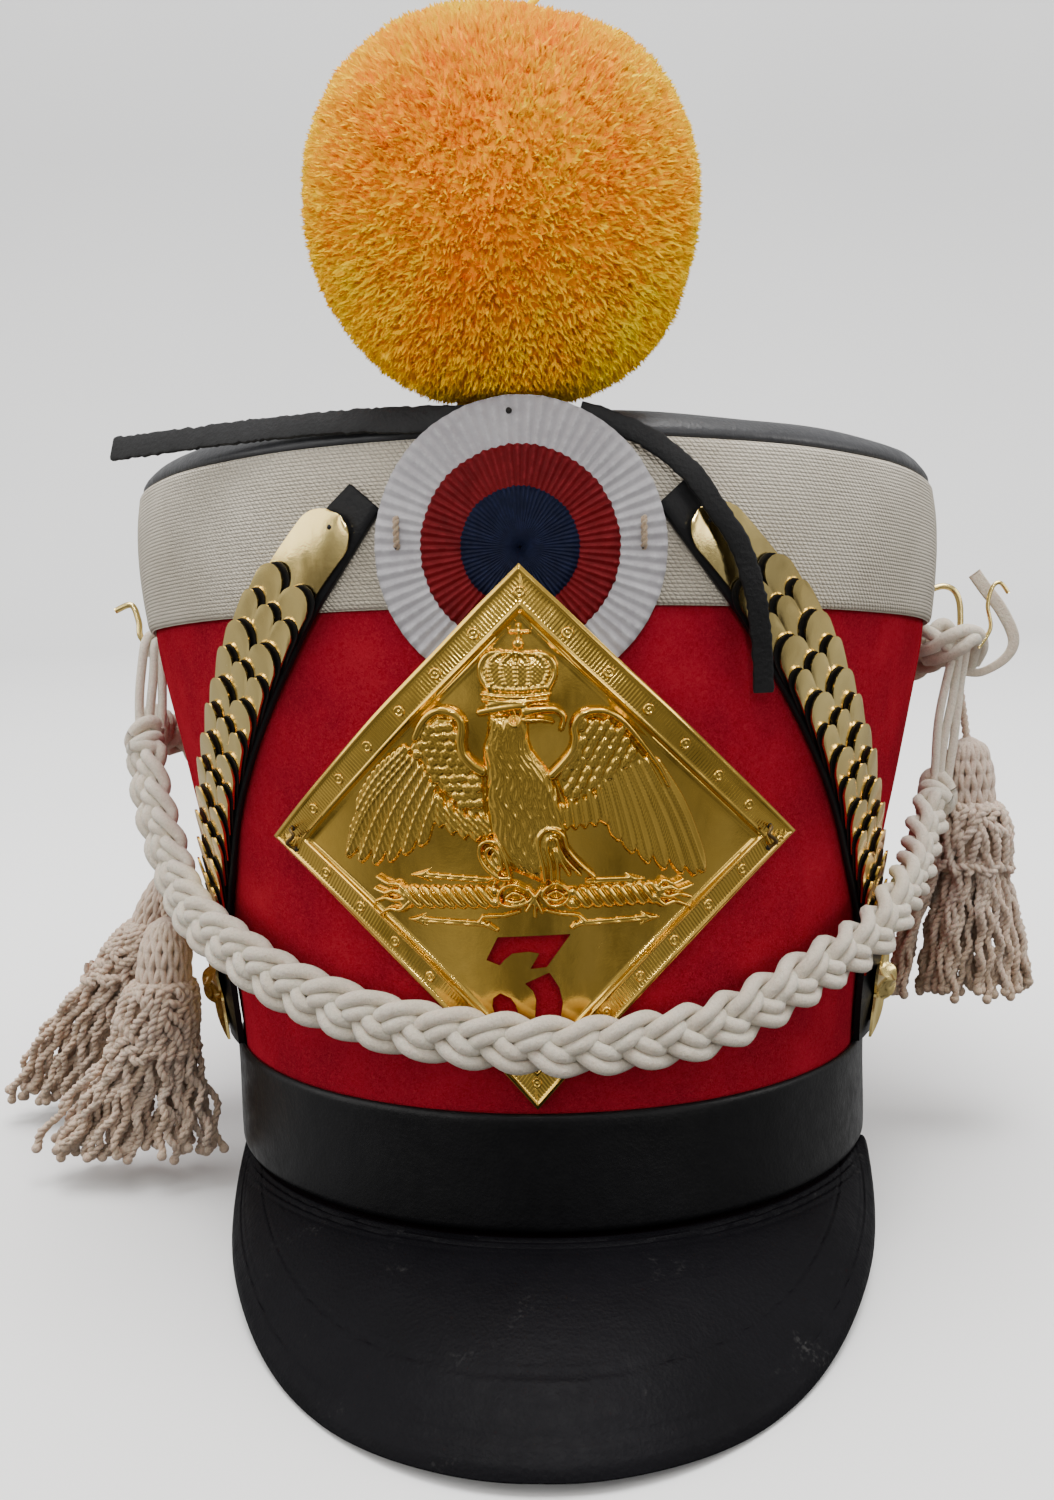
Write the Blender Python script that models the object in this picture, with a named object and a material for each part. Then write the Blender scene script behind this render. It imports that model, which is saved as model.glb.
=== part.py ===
"""A soldier's shako hat, standing as it does on a table: on its peak and the rear edge of its band.

Metres, +Z up, and the front faces -Y. The hat is modelled upright in its own frame, where height 0 is
the bottom edge of the lower band and y is 0 at its axis. The empty "hat" then tips it back to rest.
A place on the hat is told as (turn, height, off): turn is degrees round from the front, positive
towards +X, height is up the hat, and off is the distance out from the felt.
"""

import math

import bmesh
import bpy
from mathutils import Matrix, Vector

# Driving dimensions
BODY_HEIGHT = 0.177
FELT = 0.0027
GAP = 0.0003
RAKE = 0.055  # the top slopes down to the back by this much
RAKE_START, RAKE_END = 0.029, 0.141  # the heights between which the slope comes in
LEAN = 0.0023  # the hat's foot stands this far to +X of its top
TILT = math.radians(7.1)  # how far the hat tips back when it rests on its peak
AROUND = 40  # steps round the hat
FRONT_RADIUS = 0.1038  # turns a distance across the front into an angle

# The felt's outer surface: half its width and half its depth at each height
FELT_SHAPE = (
    # height, half_width, half_depth
    (0.000, 0.0881, 0.0966),
    (0.029, 0.0886, 0.0971),
    (0.076, 0.0956, 0.1015),
    (0.102, 0.1010, 0.1052),
    (0.127, 0.1060, 0.1090),
    (0.141, 0.1082, 0.1104),
    (0.177, 0.1090, 0.1114),
    (0.200, 0.1090, 0.1114),
)

# The leather of each chin strap, from its foot by the boss to its end behind the cockade
STRAP_ROUTE = (
    # height, turn, inner_half_width, outer_half_width
    (0.050, 70.5, 0.0072, 0.0068),
    (0.072, 62.3, 0.0080, 0.0068),
    (0.084, 56.9, 0.0082, 0.0068),
    (0.094, 52.7, 0.0082, 0.0068),
    (0.104, 48.3, 0.0082, 0.0068),
    (0.114, 43.6, 0.0082, 0.0068),
    (0.126, 37.8, 0.0082, 0.0068),
    (0.136, 32.6, 0.0080, 0.0068),
    (0.143, 28.8, 0.0074, 0.0066),
    (0.1545, 22.6, 0.0062, 0.0058),
    (0.165, 17.2, 0.0044, 0.0044),
)
STRAP_THICK = 0.0016
SCALES = 14
SCALE_THICK = 0.0006
SCALE_RISE = 0.14  # each scale climbs this steeply over the next
SCALE_INNER, SCALE_OUTER = 0.0072, 0.0086
TIP_LENGTH = 0.024

# The underside's edge of the peak, as its height above the plane that the hat rests on
PEAK_RISE = (
    # angle round the peak, rise
    (0.0, 0.0023),
    (16.0, 0.0016),
    (30.0, 0.0002),
    (36.0, 0.0000),
    (42.0, 0.0002),
    (48.0, 0.0010),
    (60.0, 0.0034),
    (74.0, 0.0050),
    (82.0, 0.0085),
    (88.0, 0.0125),
)
PEAK_THICK = 0.0026
PEAK_BULGE = 0.09  # how far the peak arches up, as a share of its reach
PEAK_HALF_WIDTH, PEAK_REACH = 0.0873, 0.1330
PEAK_CENTRE_X, PEAK_CENTRE_Y = 0.0032, -0.0220

# How far the back of the plate stands off the felt
PLATE_STAND = (
    # height, off
    (0.028, 0.0006),
    (0.060, 0.0008),
    (0.085, 0.0015),
    (0.105, 0.0036),
    (0.118, 0.0056),
    (0.130, 0.0059),
    (0.152, 0.0062),
)
PLATE_THICK = 0.0009
PLATE_HALF_WIDTH = 0.0690
PLATE_TOP, PLATE_SIDE, PLATE_BOTTOM = 0.1493, 0.0905, 0.0300
PLATE_SAG = (0.0031, 0.0011, 0.0015, 0.0027)  # of its sides, clockwise from the top corner
BORDER = 0.0067  # the plate's border, measured square to its edge
RIM_WIDTH = 0.0012

# The plaits: the front one hangs between the hooks, and the back one goes round behind
BRAID_RADIUS = 0.0050
BRAID_FRONT = (
    # turn, height, off
    (-86.0, 0.1105, 0.0128),
    (-80.0, 0.0950, 0.0126),
    (-71.5, 0.0775, 0.0108),
    (-59.5, 0.0680, 0.0104),
    (-47.0, 0.0615, 0.0092),
    (-37.5, 0.0560, 0.0082),
    (-29.0, 0.0526, 0.0076),
    (-20.5, 0.0499, 0.0076),
    (-11.0, 0.0481, 0.0076),
    (-2.0, 0.0468, 0.0076),
    (7.2, 0.0460, 0.0076),
    (22.5, 0.0475, 0.0076),
    (34.0, 0.0530, 0.0082),
    (41.0, 0.0575, 0.0088),
    (48.0, 0.0602, 0.0094),
    (56.0, 0.0643, 0.0103),
    (63.0, 0.0705, 0.0106),
    (74.0, 0.0760, 0.0104),
    (81.0, 0.0823, 0.0112),
    (88.5, 0.0920, 0.0146),
)
BRAID_BACK = (
    # turn, height, off
    (95.0, 0.1360, 0.0100),
    (104.0, 0.1320, 0.0080),
    (116.0, 0.1240, 0.0072),
    (130.0, 0.1120, 0.0068),
    (147.0, 0.1000, 0.0066),
    (164.0, 0.0920, 0.0066),
    (181.0, 0.0885, 0.0066),
    (198.0, 0.0875, 0.0066),
    (215.0, 0.0900, 0.0066),
    (232.0, 0.0960, 0.0068),
    (248.0, 0.1040, 0.0074),
    (258.0, 0.1100, 0.0090),
    (265.0, 0.1140, 0.0130),
)

# The tassels: each ring's centre, half width and half depth, from the hanging cord to the fringe's end
TASSEL_RIGHT = (
    # x, y, height, half_width, half_depth
    (0.1215, 0.004, 0.1315, 0.0012, 0.0012),
    (0.1248, 0.004, 0.1080, 0.0012, 0.0012),
    (0.1252, 0.004, 0.1055, 0.0055, 0.0055),
    (0.1254, 0.005, 0.0980, 0.0076, 0.0076),
    (0.1256, 0.006, 0.0890, 0.0080, 0.0080),
    (0.1260, 0.006, 0.0870, 0.0102, 0.0098),
    (0.1266, 0.007, 0.0800, 0.0138, 0.0124),
    (0.1264, 0.008, 0.0715, 0.0130, 0.0116),
    (0.1262, 0.008, 0.0690, 0.0134, 0.0110),
    (0.1256, 0.010, 0.0520, 0.0196, 0.0126),
    (0.1254, 0.012, 0.0330, 0.0232, 0.0138),
)
TASSEL_LEFT_FRONT = (
    (-0.1110, -0.016, 0.0920, 0.0012, 0.0012),
    (-0.1050, -0.026, 0.0620, 0.0012, 0.0012),
    (-0.1046, -0.027, 0.0600, 0.0055, 0.0055),
    (-0.1048, -0.028, 0.0540, 0.0074, 0.0074),
    (-0.1056, -0.028, 0.0450, 0.0078, 0.0078),
    (-0.1064, -0.028, 0.0425, 0.0100, 0.0092),
    (-0.1082, -0.027, 0.0345, 0.0132, 0.0112),
    (-0.1094, -0.026, 0.0270, 0.0130, 0.0106),
    (-0.1100, -0.026, 0.0240, 0.0140, 0.0104),
    (-0.1144, -0.024, 0.0110, 0.0222, 0.0116),
    (-0.1186, -0.023, -0.0035, 0.0288, 0.0124),
)
TASSEL_LEFT_BACK = (
    (-0.1145, 0.000, 0.0930, 0.0012, 0.0012),
    (-0.1120, 0.006, 0.0700, 0.0012, 0.0012),
    (-0.1125, 0.007, 0.0680, 0.0055, 0.0055),
    (-0.1150, 0.008, 0.0620, 0.0074, 0.0074),
    (-0.1180, 0.009, 0.0550, 0.0078, 0.0078),
    (-0.1195, 0.009, 0.0525, 0.0100, 0.0092),
    (-0.1230, 0.010, 0.0465, 0.0132, 0.0112),
    (-0.1262, 0.011, 0.0400, 0.0136, 0.0106),
    (-0.1280, 0.011, 0.0370, 0.0150, 0.0104),
    (-0.1380, 0.014, 0.0190, 0.0204, 0.0116),
    (-0.1480, 0.018, 0.0000, 0.0218, 0.0124),
)
NECK_RINGS = 8  # the rings above the fringe, which stay round
TASSEL_SIDES, TASSEL_LOCKS = 18, 9

POMPOM_CENTRE = Vector((-0.0025, -0.1080, 0.2335))
POMPOM_RADIUS = 0.0466
POMPOM_FOOT = 0.1916  # flat where it sits on the rim and the cockade
POMPOM_TUFTS = 150

COCKADE_RADII = (0.0319, 0.0217, 0.0129)
COCKADE_CENTRE = Vector((0.0006, -0.1147, 0.1593))
COCKADE_SLOPE = 0.103  # it leans out towards its top
COCKADE_BEND = 0.170  # the radius that it is bent to, round the hat
COCKADE_PLEATS = 24
COCKADE_THICK, PLEAT_DEPTH = 0.0009, 0.0009

RED_FELT = ((0.50, 0.012, 0.016, 1), 0.95, 0.0)
WHITE_KNIT = ((0.62, 0.58, 0.50, 1), 0.95, 0.0)
BLACK_LEATHER = ((0.012, 0.012, 0.014, 1), 0.38, 0.0)
BRASS = ((0.78, 0.56, 0.20, 1), 0.22, 1.0)
WHITE_PAINT = ((0.62, 0.60, 0.62, 1), 0.6, 0.0)
RED_PAINT = ((0.30, 0.008, 0.012, 1), 0.6, 0.0)
BLUE_PAINT = ((0.010, 0.016, 0.070, 1), 0.6, 0.0)
WHITE_CORD = ((0.66, 0.63, 0.57, 1), 0.95, 0.0)
TASSEL_COTTON = ((0.58, 0.50, 0.40, 1), 0.95, 0.0)
ORANGE_WOOL = ((0.95, 0.42, 0.02, 1), 0.95, 0.0)


def read(rows, at, column=1):
    """The value in a column where the first column is at, on a smooth curve through the rows."""
    at = min(max(at, rows[0][0]), rows[-1][0])
    last = len(rows) - 2
    i = next((k for k in range(last) if at < rows[k + 1][0]), last)

    def slope(k):
        low, high = rows[max(k - 1, 0)], rows[min(k + 1, len(rows) - 1)]
        return (high[column] - low[column]) / (high[0] - low[0])

    span = rows[i + 1][0] - rows[i][0]
    t = (at - rows[i][0]) / span
    start, end = rows[i][column], rows[i + 1][column]
    return (
        start * (2 * t**3 - 3 * t**2 + 1)
        + end * (3 * t**2 - 2 * t**3)
        + span * (slope(i) * (t**3 - 2 * t**2 + t) + slope(i + 1) * (t**3 - t**2))
    )


def hat_point(turn, height, off=0.0):
    """The place at a turn and a height, off the felt by a distance."""
    angle = math.radians(turn)
    y = -(read(FELT_SHAPE, height, 2) + off) * math.cos(angle)
    x = (read(FELT_SHAPE, height, 1) + off) * math.sin(angle)
    slope = RAKE * min(max((height - RAKE_START) / (RAKE_END - RAKE_START), 0.0), 1.0)
    return Vector((x + LEAN * (1 - height / BODY_HEIGHT), y, height - slope * y))


def front_point(across, height, off):
    """The place a distance across the front, which wraps flat things round the hat."""
    return hat_point(math.degrees(across / FRONT_RADIUS), height, off)


def material(name, look):
    colour, roughness, metallic = look
    made = bpy.data.materials.new(name)
    made.use_nodes = True
    shader = made.node_tree.nodes["Principled BSDF"]
    shader.inputs["Base Color"].default_value = colour
    shader.inputs["Roughness"].default_value = roughness
    shader.inputs["Metallic"].default_value = metallic
    made.diffuse_color = colour
    return made


def add(name, mesh_or_curve, look, sharp=35.0):
    """A sub-part of the hat, under the hat's empty, with a material of its own."""
    made = bpy.data.objects.new(name, mesh_or_curve)
    bpy.context.scene.collection.objects.link(made)
    made.parent = HAT
    mesh_or_curve.materials.append(material(name, look))
    if made.type == "MESH":
        mesh_or_curve.shade_smooth()
        mesh_or_curve.set_sharp_from_angle(angle=math.radians(sharp))
    return made


def closed_mesh(name, points, faces):
    """A mesh from points and faces, with its faces turned outwards."""
    mesh = bpy.data.meshes.new(name)
    mesh.from_pydata([tuple(p) for p in points], [], faces)
    shape = bmesh.new()
    shape.from_mesh(mesh)
    bmesh.ops.remove_doubles(shape, verts=shape.verts, dist=1e-6)
    bmesh.ops.recalc_face_normals(shape, faces=shape.faces)
    if shape.calc_volume(signed=True) < 0:
        bmesh.ops.reverse_faces(shape, faces=shape.faces)
    bmesh.ops.triangulate(shape, faces=shape.faces)
    shape.to_mesh(mesh)
    shape.free()
    return mesh


def loop_faces(rings, sides, joined):
    """Quads between rings of points, and between the last ring and the first if it is joined."""
    faces = []
    for r in range(rings if joined else rings - 1):
        low, high = r * sides, (r + 1) % rings * sides
        for k in range(sides):
            after = (k + 1) % sides
            faces.append((low + k, low + after, high + after, high + k))
    return faces


def hoop(name, section, look):
    """A ring round the hat, swept from a closed section of (height, off) corners."""
    points = [
        hat_point(360 * k / AROUND, height, off)
        for height, off in section
        for k in range(AROUND)
    ]
    return add(name, closed_mesh(name, points, loop_faces(len(section), AROUND, True)), look)


def disc_stack(name, rings, look, sides, sharp=35.0):
    """A solid through rings of points, closed by a fan at each end."""
    points = [p for ring in rings for p in ring]
    faces = loop_faces(len(rings), sides, False)
    for start, ring in ((0, rings[0]), (len(points) - sides, rings[-1])):
        hub = len(points)
        points.append(sum(ring, Vector()) / sides)
        faces += [(start + k, start + (k + 1) % sides, hub) for k in range(sides)]
    return add(name, closed_mesh(name, points, faces), look, sharp)


def body_and_bands():
    """The felt tube, the knitted band, the leather top and the leather lower band."""
    inside = -FELT
    felt = [(h, 0.0) for h in (0.0005, 0.029, 0.053, 0.076, 0.102, 0.127, 0.141, 0.177)]
    felt += [(h, inside) for h in (0.177, 0.127, 0.076, 0.0005)]
    hoop("felt_body", felt, RED_FELT)
    knit = ((0.1412, 0.0003), (0.1408, 0.0012), (0.1440, 0.0024), (0.1600, 0.0034))
    knit += ((0.1710, 0.0027), (0.1772, 0.0014), (0.1772, 0.0003))
    hoop("top_band", knit, WHITE_KNIT)
    band = ((0.0, 0.0003), (0.0, 0.0019), (0.0020, 0.0021), (0.0275, 0.0019), (0.0290, 0.0013))
    hoop("lower_band", (*band, (0.0290, 0.0003)), BLACK_LEATHER)
    shell = (
        # height, off: the underside from its middle, round the edge, and back over the top
        (0.1812, -0.060),
        (0.1808, -0.010),
        (0.1788, -0.0045),
        (0.1775, -0.0026),
        (0.1776, 0.0009),
        (0.1800, 0.0002),
        (0.1824, -0.0022),
        (0.1840, -0.0075),
        (0.1836, -0.060),
    )
    rings = [[hat_point(360 * k / AROUND, h, off) for k in range(AROUND)] for h, off in shell]
    disc_stack("crown_top", rings, BLACK_LEATHER, AROUND)


def rest_height(y):
    """The height of the plane that the hat rests on, in the hat's own frame."""
    rear = -hat_point(0, 0, 0.0019).y
    return -math.tan(TILT) * (rear - y)


def peak():
    """The peak: a thick curved sheet from under the band to its own rounded edge."""
    steps, spans = 24, 4
    low = []
    for i in range(steps + 1):
        share = 2 * i / steps - 1
        root = hat_point(75.0 * share, 0.0, -0.0016)
        root.z = -0.0009 - PEAK_THICK
        angle = math.radians(88.0 * share)
        edge = Vector((PEAK_HALF_WIDTH * math.sin(angle), -PEAK_REACH * math.cos(angle), 0.0))
        edge += Vector((PEAK_CENTRE_X, PEAK_CENTRE_Y, 0.0))
        edge.z = rest_height(edge.y) + read(PEAK_RISE, abs(math.degrees(angle)))
        for j in range(spans + 1):
            s = j / spans
            point = root.lerp(edge, s)
            point.z += 4 * PEAK_BULGE * (edge - root).length * s * (1 - s)
            low.append(point)
    width = spans + 1
    high = [point + Vector((0, 0, PEAK_THICK)) for point in low]
    points, top = low + high, len(low)
    faces = []
    for i in range(steps):
        for j in range(spans):
            a, b = i * width + j, (i + 1) * width + j
            faces += [(a, a + 1, b + 1, b), (top + a, top + b, top + b + 1, top + a + 1)]
    rim = [i * width for i in range(steps)] + [steps * width + j for j in range(spans)]
    rim += [i * width + spans for i in range(steps, 0, -1)] + list(range(spans, 0, -1))
    faces += [(a, b, top + b, top + a) for a, b in zip(rim, rim[1:] + rim[:1])]
    add("peak", closed_mesh("peak", points, faces), BLACK_LEATHER)


def cockade_point(across, up, out):
    """A place on the cockade, which leans out towards its top and bends round the hat."""
    bend = COCKADE_BEND - math.sqrt(COCKADE_BEND**2 - across**2)
    y = -COCKADE_SLOPE * up + bend - out
    return COCKADE_CENTRE + Vector((across, y, up))


def cockade_ring(name, outer, inner, look):
    """One colour of the pleated cockade, between two radii."""
    sides = 2 * COCKADE_PLEATS

    def ring(radius, front):
        made = []
        for k in range(sides):
            angle = 2 * math.pi * k / sides
            pleat = PLEAT_DEPTH * (k % 2) * min(radius / COCKADE_RADII[1], 1.0)
            out = COCKADE_THICK + pleat if front else 0.0
            made.append(cockade_point(radius * math.cos(angle), radius * math.sin(angle), out))
        return made

    if inner:
        corners = ((outer, False), (outer, True), (inner, True), (inner, False))
        points = [p for radius, front in corners for p in ring(radius, front)]
        add(name, closed_mesh(name, points, loop_faces(4, sides, True)), look, 20.0)
    else:
        disc_stack(name, [ring(outer, False), ring(outer, True)], look, sides, 20.0)


def cockade():
    white, red, blue = COCKADE_RADII
    cockade_ring("cockade_white", white, red + GAP, WHITE_PAINT)
    cockade_ring("cockade_red", red, blue + GAP, RED_PAINT)
    cockade_ring("cockade_blue", blue, 0.0, BLUE_PAINT)


def prism(outline, low, high):
    """A flat solid with an outline of (across, height) corners, between two offs."""
    count = len(outline)
    points = [Vector((x, z, off)) for off in (low, high) for x, z in outline]
    faces = [tuple(range(count)), tuple(range(count, 2 * count))]
    faces += [(k, (k + 1) % count, count + (k + 1) % count, count + k) for k in range(count)]
    return closed_mesh("cutter", points, faces)


def lozenge(inset):
    """The outline of the plate, moved in from its edge: a lozenge whose sides sag in a little."""
    rise, fall = PLATE_TOP - PLATE_SIDE, PLATE_SIDE - PLATE_BOTTOM
    up, down = math.hypot(rise, PLATE_HALF_WIDTH), math.hypot(fall, PLATE_HALF_WIDTH)
    side = PLATE_HALF_WIDTH - inset * up / rise
    top = PLATE_TOP - inset * up / PLATE_HALF_WIDTH
    bottom = PLATE_BOTTOM + inset * down / PLATE_HALF_WIDTH
    corners = [(0.0, top), (side, PLATE_SIDE), (0.0, bottom), (-side, PLATE_SIDE)]
    outline = []
    for (x, z), (to_x, to_z), sag in zip(corners, corners[1:] + corners[:1], PLATE_SAG):
        long = math.hypot(to_x - x, to_z - z)
        for k in range(3):
            share = k / 3
            inward = sag * 4 * share * (1 - share) / long
            place_x = x + (to_x - x) * share + (to_z - z) * inward
            outline.append((place_x, z + (to_z - z) * share - (to_x - x) * inward))
    return outline


def millimetres(*corners):
    return [(x / 1000, z / 1000) for x, z in corners]


def mirrored(outline):
    return [(-x, z) for x, z in reversed(outline)]


def oval(x, z, half_width, half_height, count=10):
    turns = [2 * math.pi * k / count for k in range(count)]
    return [(x + half_width * math.cos(t), z + half_height * math.sin(t)) for t in turns]


# The eagle on the plate, from the middle of the plate's foot: its own right wing is mirrored
EAGLE_BODY = millimetres(
    (-4.0, 85.0), (-7.8, 90.5), (-10.0, 97.5), (-9.6, 107.0), (-9.6, 112.0), (-7.8, 117.5),
    (-1.5, 119.0), (0.8, 114.0), (4.5, 106.0), (8.2, 97.0), (7.6, 89.0), (2.0, 83.5),
)  # fmt: skip
EAGLE_WING = millimetres(
    (7.0, 106.0), (10.2, 111.0), (11.6, 117.0), (14.8, 120.0), (19.4, 119.2), (25.0, 113.8),
    (31.0, 108.0), (37.0, 100.5), (42.5, 91.0), (45.5, 85.5), (41.5, 83.6), (33.0, 85.0),
    (24.5, 89.0), (19.5, 93.8), (10.0, 93.0),
)  # fmt: skip
EAGLE_BEAK = millimetres((0.2, 120.4), (6.5, 120.0), (8.8, 118.2), (8.0, 115.4), (0.4, 116.6))
CROWN = millimetres(
    (-6.8, 118.8), (-9.2, 127.8), (-7.0, 131.2), (-1.0, 131.8), (5.2, 131.2), (7.2, 127.6),
    (4.2, 118.8),
)  # fmt: skip
THUNDERBOLT = millimetres(
    (-39.5, 82.0), (-32.0, 79.6), (-10.0, 81.4), (12.0, 81.2), (31.5, 79.6), (39.5, 81.2),
    (39.8, 74.6), (31.5, 76.0), (12.0, 75.2), (-10.0, 75.2), (-32.0, 75.4), (-39.8, 73.4),
)  # fmt: skip
THIGH = millimetres((2.6, 90.0), (4.6, 93.0), (8.0, 92.0), (11.5, 87.0), (14.5, 82.0), (5.0, 82.4))
ARROW = millimetres(
    (9.0, 76.5), (13.0, 76.5), (13.4, 73.2), (26.0, 73.6), (25.6, 74.6), (31.6, 72.6), (25.2, 70.6),
    (25.8, 72.0), (9.0, 71.8),
)  # fmt: skip

# The number, cut right through the plate in three pieces, as a stencil
STENCIL = (
    millimetres(
        (-8.6, 69.5), (9.5, 70.1), (3.4, 62.7), (-0.8, 62.3), (1.6, 65.8), (-1.0, 66.2),
        (-5.1, 65.8), (-7.1, 64.4), (-8.4, 63.1), (-11.8, 64.3),
    ),
    millimetres(
        (4.0, 61.5), (6.4, 58.1), (7.3, 54.6), (6.6, 51.0), (3.2, 47.0), (-1.8, 45.8),
        (-1.8, 48.2), (0.0, 51.2), (0.4, 55.4), (-0.3, 57.3), (-2.3, 59.0),
    ),
    millimetres(
        (-8.7, 56.8), (-6.0, 55.7), (-4.8, 54.1), (-3.4, 49.2), (-3.4, 46.0), (-7.0, 47.4),
        (-10.0, 50.6), (-10.9, 53.7), (-10.6, 55.6),
    ),
)  # fmt: skip


def boolean(base, mesh, operation):
    """Unites a mesh with an object, or cuts it away, and keeps the result in the object."""
    other = bpy.data.objects.new("cutter", mesh)
    bpy.context.scene.collection.objects.link(other)
    step = base.modifiers.new("step", "BOOLEAN")
    step.operation, step.solver, step.object = operation, "EXACT", other
    bpy.context.view_layer.update()
    evaluated = base.evaluated_get(bpy.context.evaluated_depsgraph_get())
    result = bpy.data.meshes.new_from_object(evaluated)
    base.modifiers.clear()
    base.data = result
    bpy.data.objects.remove(other)


def plate():
    """The brass plate, made flat with its relief and number, then bent round the hat."""
    flat = bpy.data.objects.new("flat", prism(lozenge(0.0), 0.0, PLATE_THICK))
    bpy.context.scene.collection.objects.link(flat)
    face = PLATE_THICK
    frame = bpy.data.objects.new("frame", prism(lozenge(BORDER), face - 0.0004, face + 0.0005))
    bpy.context.scene.collection.objects.link(frame)
    inside = lozenge(BORDER + RIM_WIDTH)
    boolean(frame, prism(inside, face - 0.001, face + 0.001), "DIFFERENCE")
    boolean(flat, frame.data.copy(), "UNION")
    bpy.data.objects.remove(frame)
    reliefs = (
        (EAGLE_BODY, 0.0024),
        (EAGLE_WING, 0.0013),
        (mirrored(EAGLE_WING), 0.0013),
        (EAGLE_BEAK, 0.0019),
        (CROWN, 0.0021),
        (oval(-0.0008, 0.1336, 0.0022, 0.0023), 0.0016),
        (THIGH, 0.0020),
        (mirrored(THIGH), 0.0020),
        (THUNDERBOLT, 0.0016),
        (ARROW, 0.0009),
        (mirrored(ARROW), 0.0009),
    )
    for outline, rise in reliefs:
        boolean(flat, prism(outline, face - 0.0004, face + rise), "UNION")
    for outline in STENCIL:
        boolean(flat, prism(outline, -0.001, face + 0.001), "DIFFERENCE")
    shape = bmesh.new()
    shape.from_mesh(flat.data)
    bpy.data.objects.remove(flat)
    strips = 8
    for k in range(1, strips):
        cut(shape, (2 * k / strips - 1) * PLATE_HALF_WIDTH, 0)
    for height in (0.0753, 0.1007, 0.1247):
        cut(shape, height, 1)
    bmesh.ops.remove_doubles(shape, verts=shape.verts, dist=2e-6)
    bmesh.ops.triangulate(shape, faces=shape.faces)
    bmesh.ops.recalc_face_normals(shape, faces=shape.faces)
    if shape.calc_volume(signed=True) < 0:
        bmesh.ops.reverse_faces(shape, faces=shape.faces)
    for vertex in shape.verts:
        across, height, off = vertex.co
        vertex.co = front_point(across, height, off + read(PLATE_STAND, height))
    mesh = bpy.data.meshes.new("plate")
    shape.to_mesh(mesh)
    shape.free()
    add("plate", mesh, BRASS)


def cut(shape, place, axis):
    """Adds edges along a plane square to an axis, so that the flat plate can bend there."""
    everything = [*shape.verts, *shape.edges, *shape.faces]
    square = Vector((axis == 0, axis == 1, 0))
    bmesh.ops.bisect_plane(
        shape, geom=everything, dist=1e-5, plane_co=square * place, plane_no=square
    )


def strap_line():
    """Heights and turns along a strap's middle, with the distance run to each."""
    line, run = [], 0.0
    steps = 60
    low, high = STRAP_ROUTE[0][0], STRAP_ROUTE[-1][0]
    for k in range(steps + 1):
        height = low + (high - low) * k / steps
        turn = read(STRAP_ROUTE, height)
        place = hat_point(turn, height)
        if line:
            run += (place - last).length
        last = place
        line.append((run, height, turn))
    return line


def bearing(height):
    """How far off the felt the strap lies: over the knitted band it is further out."""
    over = min(max((height - 0.116) / 0.044, 0.0), 1.0)
    return 0.0005 + 0.0034 * over * over * (3 - 2 * over)


def strap_point(line, along, across, off, side):
    """A place on a strap: a distance up it, a distance towards the front, and off its bearing."""
    height, turn = read(line, along, 1), read(line, along, 2)
    step = 0.002
    rise = read(line, along + step, 1) - read(line, along - step, 1)
    swing = math.radians(read(line, along + step, 2) - read(line, along - step, 2)) * 0.105
    length = math.hypot(rise, swing)
    height += across * swing / length
    turn -= math.degrees(across * rise / length / 0.105)
    return hat_point(side * turn, height, bearing(height) + off)


def scale_outline(lobes, length, inner, outer):
    """A scale's outline of (along, across) corners: a plain foot, and rounded lobes at its end."""
    width = inner + outer
    outline = [(0.0, -outer), (0.0, inner)]
    radius = width / lobes / 2
    for lobe in range(lobes):
        middle = inner - radius * (2 * lobe + 1)
        steps = 5 - lobes
        for k in range(steps + 1):
            angle = math.radians(15 + 150 * k / steps)
            reach = length - radius * 1.25 + radius * 1.25 * math.sin(angle)
            outline.append((reach, middle + radius * math.cos(angle)))
    return outline


def tip_outline():
    """The rounded plate at the strap's top end."""
    outline = [(0.0, -0.0078), (0.0, 0.0058)]
    for k in range(9):
        angle = math.radians(180 * k / 8)
        outline.append((TIP_LENGTH - 0.008 + 0.008 * math.sin(angle), -0.0009 + 0.0062 * math.cos(angle)))
    return outline


def plate_on_strap(name, line, start, outline, rise, side):
    """A thin brass plate on a strap, climbing as it goes up."""
    points = []
    for thick in (0.0, SCALE_THICK):
        for along, across in outline:
            off = STRAP_THICK + GAP + thick + rise * along
            points.append(strap_point(line, start + along, across, off, side))
    count = len(outline)
    faces = [tuple(range(count)), tuple(range(count, 2 * count))]
    faces += [(k, (k + 1) % count, count + (k + 1) % count, count + k) for k in range(count)]
    add(name, closed_mesh(name, points, faces), BRASS)


def chin_strap(name, side):
    """One chin strap: its leather, its scales, its tip plate and its boss."""
    line = strap_line()
    total = line[-1][0]
    pieces = 14
    rings = []
    for k in range(pieces + 1):
        along = total * k / pieces
        height = read(line, along, 1)
        inner, outer = read(STRAP_ROUTE, height, 2), read(STRAP_ROUTE, height, 3)
        corners = ((-outer, 0.0), (inner, 0.0), (inner, STRAP_THICK), (-outer, STRAP_THICK))
        rings.append([strap_point(line, along, a, off, side) for a, off in corners])
    disc_stack(f"strap_{name}", rings, BLACK_LEATHER, 4)
    tip_start = next(run for run, height, _ in line if height > 0.1440)
    pitch = (tip_start - 0.002) / SCALES
    length = 1.6 * pitch
    for k in range(SCALES):
        outline = scale_outline(3 - k % 2, length, SCALE_INNER, SCALE_OUTER)
        number = f"scale_{name}_{k + 1:02d}"
        plate_on_strap(number, line, 0.002 + k * pitch, outline, SCALE_RISE, side)
    plate_on_strap(f"tip_{name}", line, 0.002 + SCALES * pitch, tip_outline(), 0.04, side)
    boss(name, side)


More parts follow.
